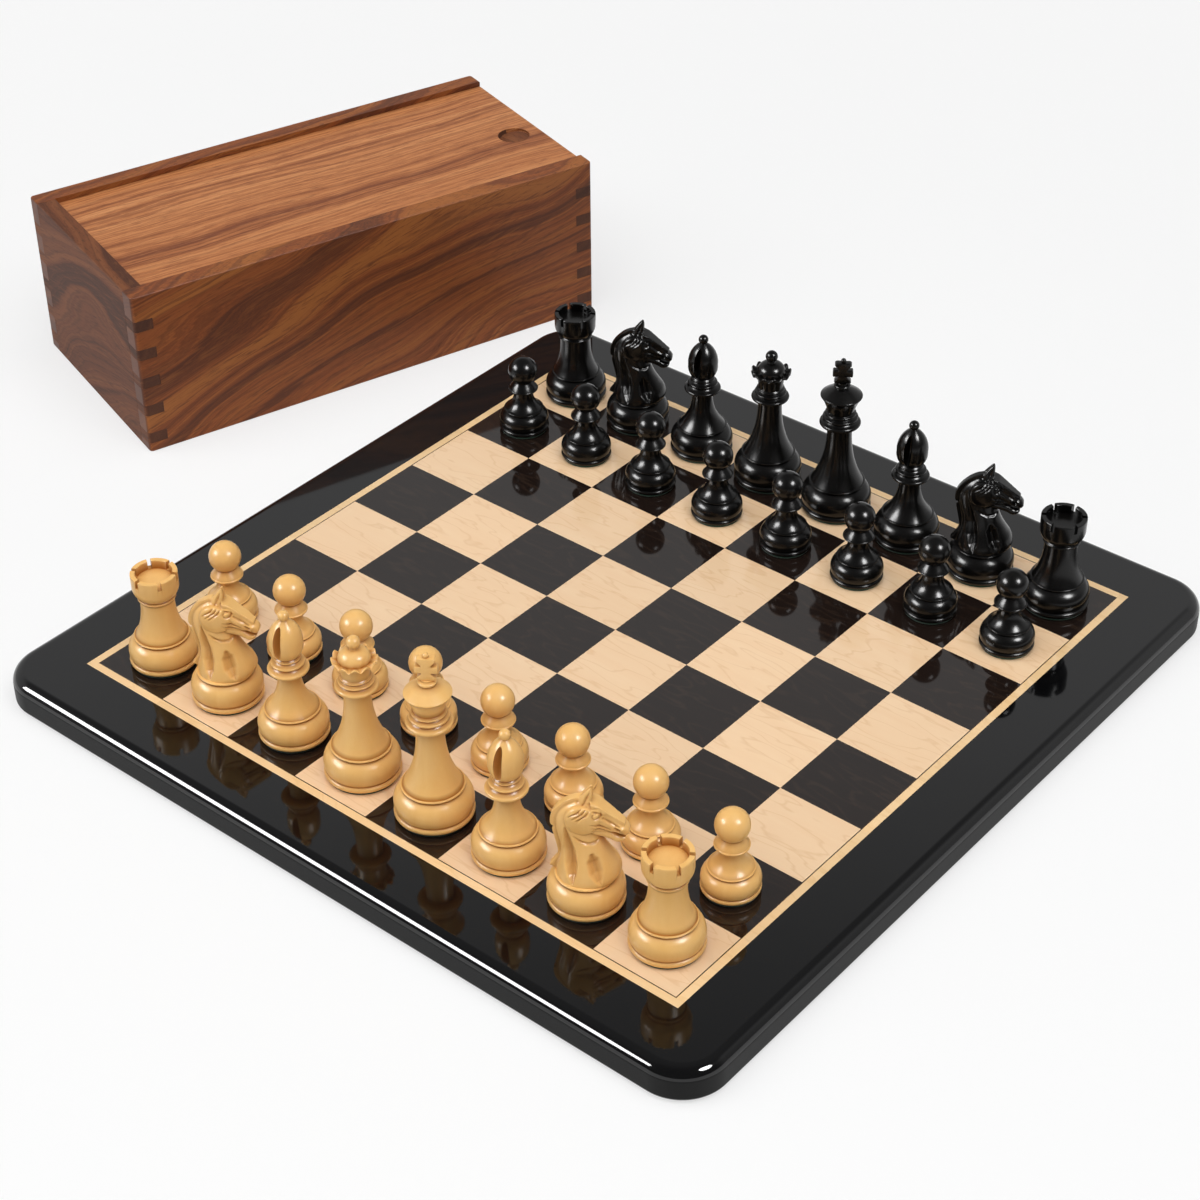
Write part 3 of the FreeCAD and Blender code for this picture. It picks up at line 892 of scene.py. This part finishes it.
def cross():
    """A plate with flared arms and eased edges, and the ball on its top, facing along X."""
    base, height = man_size("white_king", "white_king_cross")
    low = height * king_shares[-1][1]
    top = height - 2 * cross_ball + cross_ease
    half = base * cross_width_share / 2
    side = [Vector((cross_thickness / 2, half * y, low + (top - low) * z)) for y, z in cross_shares]
    draw(side + [Vector((p.x, -p.y, p.z)) for p in reversed(side)])
    bpy.ops.mesh.select_all(action="SELECT")
    bpy.ops.mesh.edge_face_add()
    bpy.ops.mesh.extrude_region_move(TRANSFORM_OT_translate={"value": (-cross_thickness, 0, 0)})
    bpy.ops.mesh.select_all(action="SELECT")
    bpy.ops.mesh.normals_make_consistent(inside=False)
    bpy.ops.mesh.bevel(offset=cross_ease, affect="EDGES", segments=3)
    arms = put_down("cross")
    ball = ball_rows(cross_ball, cross_ball / 2, height)
    sunk = ball[0][1] - cross_ease
    knob = spin("knob", outline_points([(0, sunk, 0), (cross_ball / 2, sunk, 0)] + ball), 32)
    return join([arms, knob], "cross")


# %% [markdown]
# ## Knight
# Only the knight is carved. His head starts from rings: level ones up the neck, and slanted ones from poll
# to muzzle, each row bridged into a smooth form. Neck, face, jaw, ears, eyes, the round cheeks, the flat
# nose and the band of his mane are melted together by a voxel remesh. The gouge marks are then pressed in as
# lines in the side view, the way a sculpting brush would, and a last smoothing rounds their edges. Places are
# in millimetres: forward from the man's axis, and up from his square.

# %% Rings, bridges and gouges
MM = 0.001
side_gain = 1.6
side_start = 0.25
gouge_power = 1.5


def side_view(forward, up, across=0.0):
    """A place in the knight's side view, in metres."""
    return Vector((forward, across, up)) * MM


def squared(circle_share, squareness):
    """Push a share of a circle outwards, towards the square around it."""
    return math.copysign(abs(circle_share) ** squareness, circle_share)


def bridge_rings(name, rings, squareness=1.0, sides=40, cuts=4):
    """Bridge a row of oval rings: centre, half length, half width and tilt about Y."""
    fresh()
    for number, (centre, length, width, tilt) in enumerate(rings):
        if number:
            bpy.ops.mesh.select_all(action="DESELECT")
        bpy.ops.mesh.primitive_circle_add(vertices=sides, radius=1)
        if not number:
            bpy.ops.object.mode_set(mode="EDIT")
        mesh = bmesh.from_edit_mesh(bpy.context.object.data)
        tip = Matrix.Rotation(-tilt, 3, "Y")
        for corner in mesh.verts:
            if corner.select:
                x, y = squared(corner.co.x, squareness), squared(corner.co.y, squareness)
                corner.co = centre + tip @ Vector((x * length, y * width, 0))
        bmesh.update_edit_mesh(bpy.context.object.data)
    bpy.ops.mesh.select_all(action="SELECT")
    bpy.ops.mesh.bridge_edge_loops(interpolation="SURFACE", number_cuts=cuts, smoothness=1.0)
    bpy.ops.mesh.select_mode(type="EDGE")
    bpy.ops.mesh.select_all(action="DESELECT")
    bpy.ops.mesh.select_non_manifold()
    bpy.ops.mesh.edge_face_add()
    return put_down(name)


def smooth_line(points, count):
    """Places along a smooth line through given points."""
    ends = [2 * points[0] - points[1], *points, 2 * points[-1] - points[-2]]
    spans = len(points) - 1
    places = []
    for step in range(count + 1):
        span = min(int(step / count * spans), spans - 1)
        t = step / count * spans - span
        a, b, c, d = ends[span:span + 4]
        curve = 2 * b + (c - a) * t + (2 * a - 5 * b + 4 * c - d) * t ** 2
        places.append((curve + (3 * b - a - 3 * c + d) * t ** 3) / 2)
    return places


def arc(centre, radius, start, end, count=18):
    """Points on an arc in the side view, from one angle in degrees to another."""
    angles = [math.radians(start + (end - start) * step / count) for step in range(count + 1)]
    return [(centre[0] + radius * math.cos(a), centre[1] + radius * math.sin(a)) for a in angles]


def plate(name, outline, half_width, front_half_width=None):
    """A plate across the middle plane, cut to an outline in the side view, narrower in front if asked."""
    draw([side_view(*point) for point in outline])
    bpy.ops.mesh.select_all(action="SELECT")
    bpy.ops.mesh.edge_face_add()
    bpy.ops.transform.translate(value=(0, -half_width * MM, 0))
    bpy.ops.mesh.extrude_region_move(TRANSFORM_OT_translate={"value": (0, 2 * half_width * MM, 0)})
    piece = put_down(name)
    if front_half_width:
        back, front = min(p[0] for p in outline), max(p[0] for p in outline)
        for corner in piece.data.vertices:
            share = (corner.co.x / MM - back) / (front - back)
            corner.co.y *= 1 + (front_half_width / half_width - 1) * share
    return piece


def carve(piece, gouges):
    """Press gouges into both sides of a piece: a depth, and points with the half width of the cut there."""
    count = len(piece.data.vertices)
    places, slants = np.zeros(count * 3), np.zeros(count * 3)
    piece.data.vertices.foreach_get("co", places)
    piece.data.vertices.foreach_get("normal", slants)
    places, slants = places.reshape(-1, 3), slants.reshape(-1, 3)
    flat = places[:, [0, 2]] / MM
    sideways = np.clip(np.abs(slants[:, 1]) * side_gain - side_start, 0, 1)
    push = np.zeros(count)
    for depth, *points in gouges:
        cut = np.zeros(count)
        widest = max(point[2] for point in points)
        for start, end in zip(np.array(points), np.array(points[1:])):
            step = (end - start)[:2]
            share = np.clip((flat - start[:2]) @ step / (step @ step), 0, 1)
            gap = np.linalg.norm(flat - start[:2] - share[:, None] * step, axis=1)
            width = start[2] + (end[2] - start[2]) * share
            cut = np.maximum(cut, width / widest * np.clip(1 - (gap / width) ** 2, 0, 1) ** gouge_power)
        push += depth * cut
    places -= slants * (push * sideways * MM)[:, None]
    piece.data.vertices.foreach_set("co", places.ravel())
    piece.data.update()
    return piece


# %% Carved head
neck_rings = [
    (18.2, -14.0, 14.6, 14.2),
    (21.0, -14.2, 17.2, 13.8),
    (25.4, -13.2, 16.8, 12.4),
    (31.0, -12.0, 13.4, 10.2),
    (36.0, -12.0, 10.4, 8.6),
    (42.0, -13.4, 8.0, 7.2),
    (48.0, -14.4, 6.0, 6.2),
    (54.0, -13.8, 4.0, 5.4),
    (59.0, -10.8, 3.0, 4.6),
    (63.0, -6.0, 2.6, 3.4),
]
face_rings = [
    ((-4.0, 63.4), (-7.0, 50.5), 4.4),
    ((1.8, 64.0), (-1.0, 46.6), 6.0),
    ((6.4, 61.4), (5.0, 46.2), 6.0),
    ((10.4, 58.4), (9.6, 46.4), 4.9),
    ((14.4, 55.4), (13.6, 46.6), 4.1),
    ((17.8, 52.8), (17.4, 46.0), 3.9),
    ((20.2, 50.8), (20.0, 45.4), 3.6),
    ((21.4, 49.0), (21.2, 46.6), 2.4),
]
jaw_rings = [
    ((5.0, 49.6), (3.6, 45.4), 5.4),
    ((9.6, 48.4), (8.4, 43.8), 4.4),
    ((13.4, 46.8), (12.6, 42.0), 3.7),
    ((16.4, 44.8), (15.4, 40.6), 3.5),
    ((18.4, 44.4), (17.4, 41.0), 3.2),
    ((19.8, 44.0), (19.4, 42.4), 2.2),
]
ear_rings = [
    (0.0, 61.0, 2.0, 3.4, 2.0),
    (0.5, 65.0, 1.7, 3.1, 1.7),
    (1.8, 68.6, 1.4, 2.1, 1.2),
    (2.9, 71.8, 1.2, 0.5, 0.5),
]
crest = [
    (-17.6, 21.2), (-15.6, 24.2), (-13.8, 27.6), (-13.4, 31.6), (-14.2, 36.0), (-15.3, 41.0), (-16.0, 44.6),
    (-15.0, 46.2), (-16.7, 47.4), (-16.9, 51.0), (-15.9, 54.8), (-13.2, 58.9), (-9.0, 63.0), (-4.4, 65.4),
    (0.6, 66.0),
]
mane_inside = [(1.6, 60.0), (-4.0, 54.0), (-8.0, 44.0), (-8.0, 34.0), (-9.0, 26.0), (-13.6, 19.6)]
mane_half_width = 2.1
nose_bridge = [(3.0, 64.6), (6.6, 63.2), (10.2, 60.4), (19.4, 52.9), (18.6, 50.6), (9.0, 57.4), (4.0, 60.0)]
nose_half_widths = (4.9, 2.4)
cheek_place = (-1.0, 54.4)
cheek_rows = [(0, -7.8, 0), (4.5, -7.5, 0), (7.0, -6.9, 0), (8.1, -6.2, 0), (8.2, -5.4, 0),
              (8.2, 5.4, 0), (8.1, 6.2, 0), (7.0, 6.9, 0), (4.5, 7.5, 0), (0, 7.8, 0)]
eye_place = (6.4, 58.6)
eye_out = 5.2
eye_radius = 1.15
voxel = 0.00040
gouges = [
    (3.9, (-9.0, 49.0, 0.6), (-8.0, 43.0, 2.2), (-6.8, 36.0, 3.6), (-5.8, 30.0, 3.9), (-5.0, 25.0, 2.8),
     (-4.6, 20.6, 0.8)),
    (3.3, (4.4, 35.0, 1.6), (5.4, 31.6, 3.6), (6.8, 27.6, 3.7), (8.4, 23.6, 2.2), (9.6, 20.8, 0.6)),
    (0.9, (-4.8, 45.0, 0.4), (-1.6, 42.8, 0.9), (1.8, 41.4, 1.0), (5.6, 41.4, 1.0), (9.0, 43.4, 0.6)),
    (1.1, (-0.6, 63.0, 0.5), (-2.6, 60.2, 0.8), (-7.2, 57.0, 0.4)),
    (1.1, (1.2, 62.2, 0.5), (-0.8, 59.4, 0.8), (-5.4, 56.0, 0.4)),
    (1.1, (2.8, 61.2, 0.5), (1.0, 58.8, 0.8), (-3.2, 55.4, 0.4)),
    (0.7, *[(*point, 0.55) for point in arc(eye_place, 1.9, 150, 400)]),
    (-0.8, (3.6, 61.0, 0.7), (6.4, 60.9, 0.9), (9.4, 58.9, 0.6)),
    (1.1, (9.2, 56.6, 0.8), (13.0, 53.6, 1.2), (16.6, 51.2, 0.8)),
    (1.9, (14.8, 50.4, 0.6), (16.6, 49.2, 1.2)),
    (-0.8, (16.0, 51.0, 0.8), (18.2, 49.8, 1.1), (17.4, 48.0, 0.8)),
    (1.1, (3.2, 54.0, 0.2), (7.6, 52.4, 0.9), (12.6, 49.6, 0.4)),
    (1.1, (3.6, 51.2, 0.2), (7.6, 50.0, 0.9), (12.0, 47.8, 0.4)),
    (1.0, (0.0, 63.4, 0.7), (1.2, 66.4, 1.1), (2.4, 69.4, 0.5)),
]


def slanted(rows):
    """Rings square to the knight's middle plane, each through a top and a bottom point."""
    rings = []
    for top, bottom, width in rows:
        way = side_view(*top) - side_view(*bottom)
        middle = (side_view(*top) + side_view(*bottom)) / 2
        rings.append((middle, way.length / 2, width * MM, math.atan2(way.z, way.x)))
    return rings


def cheeks():
    """A round plate through the head, a little crowned, that stands proud on both sides."""
    piece = spin("cheeks", outline_points([(r * MM, y * MM, bow) for r, y, bow in cheek_rows]), 72)
    piece.matrix_world = Matrix.Translation(side_view(*cheek_place)) @ Matrix.Rotation(math.pi / 2, 4, "X")
    bpy.ops.object.transform_apply(location=True, rotation=True, scale=True)
    return piece


def knight_head():
    """The carved head and neck, melted together from its forms and then gouged."""
    neck = [(side_view((back + front) / 2, up), (front - back) / 2 * MM, width * MM, 0)
            for up, back, front, width in neck_rings]
    parts = [bridge_rings("neck", neck, squareness=0.9)]
    parts.append(bridge_rings("face", slanted(face_rings), squareness=0.8))
    parts.append(bridge_rings("jaw", slanted(jaw_rings), squareness=0.8))
    line = [(p.x / MM, p.z / MM) for p in smooth_line([side_view(*p) for p in crest], 90)]
    parts.append(plate("mane", line + mane_inside, mane_half_width))
    parts.append(plate("nose", nose_bridge, *nose_half_widths))
    parts.append(cheeks())
    for side in (-1, 1):
        ear = [(side_view(x, z, side * y), length * MM, width * MM, 0)
               for x, z, y, length, width in ear_rings]
        parts.append(bridge_rings("ear", ear))
        fresh()
        place = side_view(*eye_place, side * eye_out)
        radius = eye_radius * MM
        bpy.ops.mesh.primitive_uv_sphere_add(segments=24, ring_count=12, radius=radius, location=place)
        bpy.ops.object.transform_apply(location=True)
        parts.append(bpy.context.object)
    head = join(parts, "knight_head")
    modify(head, "REMESH", mode="VOXEL", voxel_size=voxel)
    modify(head, "SMOOTH", factor=0.5, iterations=3)
    carve(head, gouges)
    modify(head, "SMOOTH", factor=0.5, iterations=4)
    return head


def knight():
    """The turned foot that the carved head stands on."""
    base, height = turned_size("white_knight_b")
    return man("knight", base, height, [], [(0, felt_thickness + base / 2 * foot_shares[-1][1], 0)])


# %% One of each kind
kinds = {"pawn": pawn(), "rook": rook(), "queen": queen(), "bishop": bishop(), "king": king(),
         "knight": knight()}
tops = {"king": ("cross", cross()), "knight": ("head", knight_head())}
for name, piece in list(kinds.items()) + list(tops.values()):
    mark_grooves(smooth(piece, 32))
    print(name, len(piece.data.polygons), "faces")

# %% [markdown]
# ## Felt pads
# A green felt pad is glued under every man, a little smaller than his foot. It is a disc with a soft rim.

# %% Felt pad
pad_share = 0.93
pad_ease = 0.0004


def felt_pad(name, base):
    """A disc of felt with a soft rim, for a foot of a given width."""
    fresh()
    bpy.ops.mesh.primitive_circle_add(vertices=64, radius=base / 2 * pad_share, fill_type="NGON")
    bpy.ops.object.mode_set(mode="EDIT")
    bpy.ops.mesh.extrude_region_move(TRANSFORM_OT_translate={"value": (0, 0, felt_thickness)})
    bpy.ops.mesh.select_all(action="SELECT")
    bpy.ops.mesh.normals_make_consistent(inside=False)
    pick(lambda a, b: abs(a.z - b.z) < tiny)
    bpy.ops.mesh.bevel(offset=pad_ease, affect="EDGES", segments=3)
    return smooth(put_down(name), 40)


pads = {kind: felt_pad("pad_" + kind, man_size(node)[0]) for kind, node in (
    ("pawn", "white_pawn_a"), ("rook", "white_rook_a"), ("knight", "white_knight_b"),
    ("bishop", "white_bishop_c"), ("queen", "white_queen"), ("king", "white_king"))}
print(len(pads), "pads")

# %% [markdown]
# ## Setting up the men
# Every man is a copy of his kind with a mesh of his own. He is turned as the photograph shows, moved to the
# middle of his square in his mesh, and rides on the body of the same name.

# %% Set up the board
headings = {"cross": 305, "bishop": 284, "knight": 30, "head": 30, "rook": 301}
men = [body for body in frame["bodies"] if body.split("_")[0] in woods]
playing_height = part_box("dark_squares")[1].z


def place_of(node, kind):
    """The middle of a man's square, with the heading of that kind."""
    low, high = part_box(node)
    spot = Vector(((low.x + high.x) / 2, (low.y + high.y) / 2, playing_height))
    return Matrix.Translation(spot) @ Matrix.Rotation(math.radians(headings.get(kind, 0)), 4, "Z")


for body in men:
    colour, kind = body.split("_")[:2]
    material, slot = woods[colour]
    piece = copy_to(kinds[kind], "turned_" + body, place_of(body, kind))
    dress(piece, material, body, slot, body)
    pad = copy_to(pads[kind], "felt_" + body, place_of(body, kind))
    dress(pad, green_felt, body, "baize")
    if kind in tops:
        part, model = tops[kind]
        node = body + "_" + part
        piece = copy_to(model, "carved_" + node, place_of(body, part))
        dress(piece, material, body, slot, node)
for piece in list(kinds.values()) + list(pads.values()) + [model for part, model in tops.values()]:
    bpy.data.objects.remove(piece)
print(len(men), "men set up")

# %% [markdown]
# ## Oiled rosewood
# The box is Indian rosewood, planed and oiled. Its growth layers wander, so a flat board shows long streaks
# that swirl round each other, from orange brown to nearly black, with fine dark pores along the grain. The
# pattern is a solid one: the layers are drawn in space, in the direction of the board's own grain, and a cut
# across the grain shows dark end grain.

# %% Material: rosewood
lid_axis = Vector(next(j["axis"] for j in frame["joints"] if j["name"] == "lid_slide"))
box_turn = math.atan2(lid_axis.y, lid_axis.x)


def layers(tree, depth, size, detail, roughness=0.5):
    """Growth layers: noise along the depth in the trunk, with a size in metres."""
    rings = {"W": depth, "Scale": 1 / size, "Detail": detail, "Roughness": roughness}
    return add(tree, "TexNoise", rings, noise_dimensions="1D").outputs["Fac"]


def rosewood(name, along_turn, shift, swirl, tilt, band, roughness, pale, mid, dark):
    """Rosewood with its grain along a direction in the plane of the table, tilted a little upwards."""
    material, tree, shader = start_material(name, roughness=roughness, ior=1.5, specular_ior_level=0.2)
    level = {"Vector": object_place(tree), "Rotation": (0, 0, -along_turn), "Location": shift}
    turned = stretch(tree, add(tree, "Mapping", level).outputs[0], (1, 1, 1), (0, math.radians(tilt), 0))
    drift = noise(tree, stretch(tree, turned, (0.5, 1.0, 1.0)), size=0.075, detail=1.0, roughness=0.4)
    wobble = noise(tree, stretch(tree, turned, (0.10, 1.0, 1.0)), size=0.006, detail=5.0, roughness=0.6)
    parts = add(tree, "SeparateXYZ", {"Vector": turned})
    depth = maths(tree, "MULTIPLY_ADD", parts.outputs["Y"], 0.7, parts.outputs["Z"])
    depth = maths(tree, "MULTIPLY_ADD", drift, swirl, depth)
    depth = maths(tree, "MULTIPLY_ADD", wobble, 0.006, depth)
    bands = layers(tree, depth, size=band, detail=8.0, roughness=0.75)
    lines = layers(tree, depth, size=0.0025, detail=2.0)
    fibres = stretch(tree, turned, (0.07, 1.0, 1.0))
    pore = noise(tree, fibres, size=0.0012, detail=3.0, roughness=0.7)
    # Painted highlight: small pale glints along the fibres
    painted_glint = noise(tree, fibres, size=0.0019, detail=3.0, roughness=0.7)
    grain_way = (math.cos(along_turn), math.sin(along_turn), 0)
    slant = add(tree, "NewGeometry").outputs["Normal"]
    facing = add(tree, "VectorMath", {0: slant, 1: grain_way}, operation="DOT_PRODUCT")
    sawn = maths(tree, "ABSOLUTE", facing.outputs["Value"])
    colour = blend(tree, remap(tree, bands, 0.36, 0.50), dark, mid)
    # Pale streaks, dark lines, painted pale glints of highlight, dark pores and the dark of end grain, each
    # over the last
    for pattern, low, high, most, tone in (
            (bands, 0.48, 0.64, 1.0, pale), (lines, 0.50, 0.70, 0.50, dark), (painted_glint, 0.52, 0.72, 0.45, pale),
            (pore, 0.52, 0.70, 0.75, dark), (sawn, 0.6, 0.95, 0.7, dark)):
        colour = blend(tree, remap(tree, pattern, low, high, most=most), colour, tone)
    tree.links.new(colour, shader.inputs["Base Color"])
    emboss(tree, shader, pore, strength=0.10, depth=0.0003)
    return material


long_rosewood = rosewood("oiled_rosewood_side", box_turn, (0.13, 0.02, 0.02), swirl=0.09, tilt=16, band=0.026,
                         roughness=0.42, pale="#a0602e", mid="#884823", dark="#582f1a")
# The end boards are darker partly as painted shade: their colours are set to the shaded left end of the box
end_grain_and_shade_rosewood = rosewood("oiled_rosewood_end_with_painted_shade", box_turn + math.pi / 2, (0.44, 0.3, 0.07), swirl=0.10, tilt=-12,
                        band=0.020, roughness=0.65, pale="#845030", mid="#6c3d25", dark="#492a1c")
lid_rosewood = rosewood("oiled_rosewood_lid", box_turn, (0.7, 0.55, 0.0), swirl=0.02, tilt=0, band=0.014,
                        roughness=0.42, pale="#d69560", mid="#b67142", dark="#783f22")
print("made three cuts of rosewood")

# %% [markdown]
# ## Storage box
# Four boards are locked at the corners by fingers: the end boards' pins go through the long boards and show
# there as dark end grain. All pieces are made in the box's own direction, from the sizes of their nodes seen
# in that direction, and are then turned into place. Every edge is eased a little, so each joint shows as a
# fine line.

# %% Box pieces
box_nodes = ("box_front_wall", "box_back_wall", "box_left_wall", "box_right_wall", "box_floor", "box_lid")
unturn = Matrix.Rotation(-box_turn, 3, "Z")
box_corner_round = 0.0025
box_rim_round = 0.001
edge_ease = 0.0003
pin_count = 5
pin_share = 0.38
lid_slack = 0.00025


def own_box(node):
    """Lowest and highest corner of a box node along the box's own directions."""
    corners = np.array([unturn @ v.co for v in frame["nodes"][node].data.vertices])
    return Vector(corners.min(0)), Vector(corners.max(0))


own = {node: own_box(node) for node in box_nodes}
wall_low, wall_high = own["box_front_wall"]
back_low, back_high = own["box_back_wall"]
lid_low, lid_high = own["box_lid"]
wall = wall_high.y - wall_low.y
box_low = wall_low.copy()
box_high = Vector((wall_high.x, back_high.y, wall_high.z))
sill = own["box_right_wall"][1].z
print("box", [round(1000 * v, 1) for v in box_high - box_low], "mm, walls", round(1000 * wall, 2), "mm")


def shell():
    """The outside of the closed box, with rounded corners and an eased rim."""
    block("shell", box_low, box_high)
    bpy.ops.object.mode_set(mode="EDIT")
    pick(lambda a, b: abs(a.z - b.z) > wall)
    bpy.ops.mesh.bevel(offset=box_corner_round, affect="EDGES", segments=6)
    for level in (box_low.z, box_high.z):
        pick(lambda a, b: abs(a.z - level) + abs(b.z - level) < tiny)
        bpy.ops.mesh.bevel(offset=box_rim_round, affect="EDGES", segments=3)
    return put_down("shell")


def pins(low_x):
    """The fingers of one end board, as one shape."""
    pitch = (sill - box_low.z) / pin_count
    fingers = []
    for number in range(pin_count):
        low_z = box_low.z + pitch * (number + (1 - pin_share) / 2)
        for low_y, high_y in ((box_low.y, wall_high.y), (back_low.y, box_high.y)):
            low = (low_x, low_y, low_z)
            fingers.append(block("finger", low, (low_x + wall, high_y, low_z + pitch * pin_share)))
    return join(fingers, "fingers")


def lid_way():
    """The room that the lid slides in, with the grooves."""
    low = lid_low - Vector((lid_slack, lid_slack, lid_slack))
    return block("lid_way", low, lid_high + Vector((wall, lid_slack, lid_slack)))


def ease(piece):
    """Ease the sharp edges of a finished board and shade it."""
    modify(piece, "BEVEL", width=edge_ease, segments=2, limit_method="ANGLE", angle_limit=math.radians(50))
    return smooth(piece, 28, weighted=True)


def fit(board):
    """Cut a wall for the lid and the floor, and round it to the outside of the box."""
    trim(board, lid_way())
    trim(board, block("floor_room", *own["box_floor"]))
    return ease(trim(board, shell(), "INTERSECT"))


def long_board(name, low_y, high_y):
    """A long wall, with the sockets for the pins of both ends."""
    board = block(name, (box_low.x, low_y, box_low.z), (box_high.x, high_y, box_high.z))
    for low_x in (box_low.x, box_high.x - wall):
        trim(board, pins(low_x))
    return fit(board)


def end_board(name, low_x, top):
    """An end wall with its pins."""
    board = block(name, (low_x, wall_high.y, box_low.z), (low_x + wall, back_low.y, top))
    return fit(trim(board, pins(low_x), "UNION"))


# %% Lid with its thumb recess
thumb_diameter = 0.021
thumb_depth = 0.0032
thumb_from_end = 0.019
thumb_across_share = 0.43
thumb_across = box_low.y + (box_high.y - box_low.y) * thumb_across_share
thumb_tilt = math.radians(8)


def lid():
    """The sliding board, with a round recess for the thumb that is tilted towards its end."""
    board = block("lid", lid_low, lid_high)
    fresh()
    bpy.ops.mesh.primitive_cylinder_add(vertices=72, radius=thumb_diameter / 2, depth=2 * thumb_depth)
    bpy.ops.object.mode_set(mode="EDIT")
    bpy.ops.transform.rotate(value=thumb_tilt, orient_axis="Y", center_override=(0, 0, 0))
    bpy.ops.transform.translate(value=(box_high.x - thumb_from_end, thumb_across, lid_high.z))
    return ease(trim(board, put_down("thumb")))


# %% Floor panel


def box_floor():
    """The floor, with a tongue along each side for the grooves of the walls."""
    low, high = own["box_floor"]
    panel = block("floor", (low.x, wall_high.y, low.z), (high.x, back_low.y, high.z))
    cross_panel = block("floor_cross", (box_low.x + wall, low.y, low.z), (box_high.x - wall, high.y, high.z))
    return ease(trim(panel, cross_panel, "UNION"))


def plywood():
    """Thin sealed plywood, pale and straight-grained."""
    return veneer("sealed_plywood", "#b98d5f", "#a5774a", "#855a35", 0.3, 0.0014, 0.5)


# %% Join the box
box_place = Matrix.Rotation(box_turn, 4, "Z")
box_pieces = (
    ("box_front_wall", long_board("front", wall_low.y, wall_high.y), long_rosewood, "rosewood"),
    ("box_back_wall", long_board("back", back_low.y, back_high.y), long_rosewood, "rosewood"),
    ("box_left_wall", end_board("left", box_low.x, box_high.z), end_grain_and_shade_rosewood, "rosewood"),
    ("box_right_wall", end_board("right", box_high.x - wall, sill), end_grain_and_shade_rosewood, "rosewood"),
    ("box_floor", box_floor(), plywood(), "plywood"),
    ("box_lid", lid(), lid_rosewood, "rosewood"),
)
for node, model, material, slot in box_pieces:
    body = "lid" if node == "box_lid" else "storage_box"
    piece = copy_to(model, "joined_" + node, box_place)
    dress(piece, material, body, slot, node)
    print(piece.name, len(piece.data.polygons), "faces")
    bpy.data.objects.remove(model)

# %% [markdown]
# ## Thumb recess
# A round cutter sinks the recess across the layers of the lid, and the oil darkens the cut wood. So the faces
# of the recess, picked by their place, wear the darker end grain, which also serves as painted shade in the
# hollow.

# %% Darker wood and painted shade in the thumb recess
sliding_lid = bpy.data.objects["joined_box_lid"]
sliding_lid.data.materials.append(end_grain_and_shade_rosewood)
thumb_place = box_place @ Vector((box_high.x - thumb_from_end, thumb_across, lid_high.z))
for face in sliding_lid.data.polygons:
    below = thumb_place - face.center
    in_recess = tiny < below.z < 2 * thumb_depth - tiny
    face.material_index = int(in_recess and below.xy.length < thumb_diameter / 2)
print("recess", sum(face.material_index for face in sliding_lid.data.polygons), "faces")
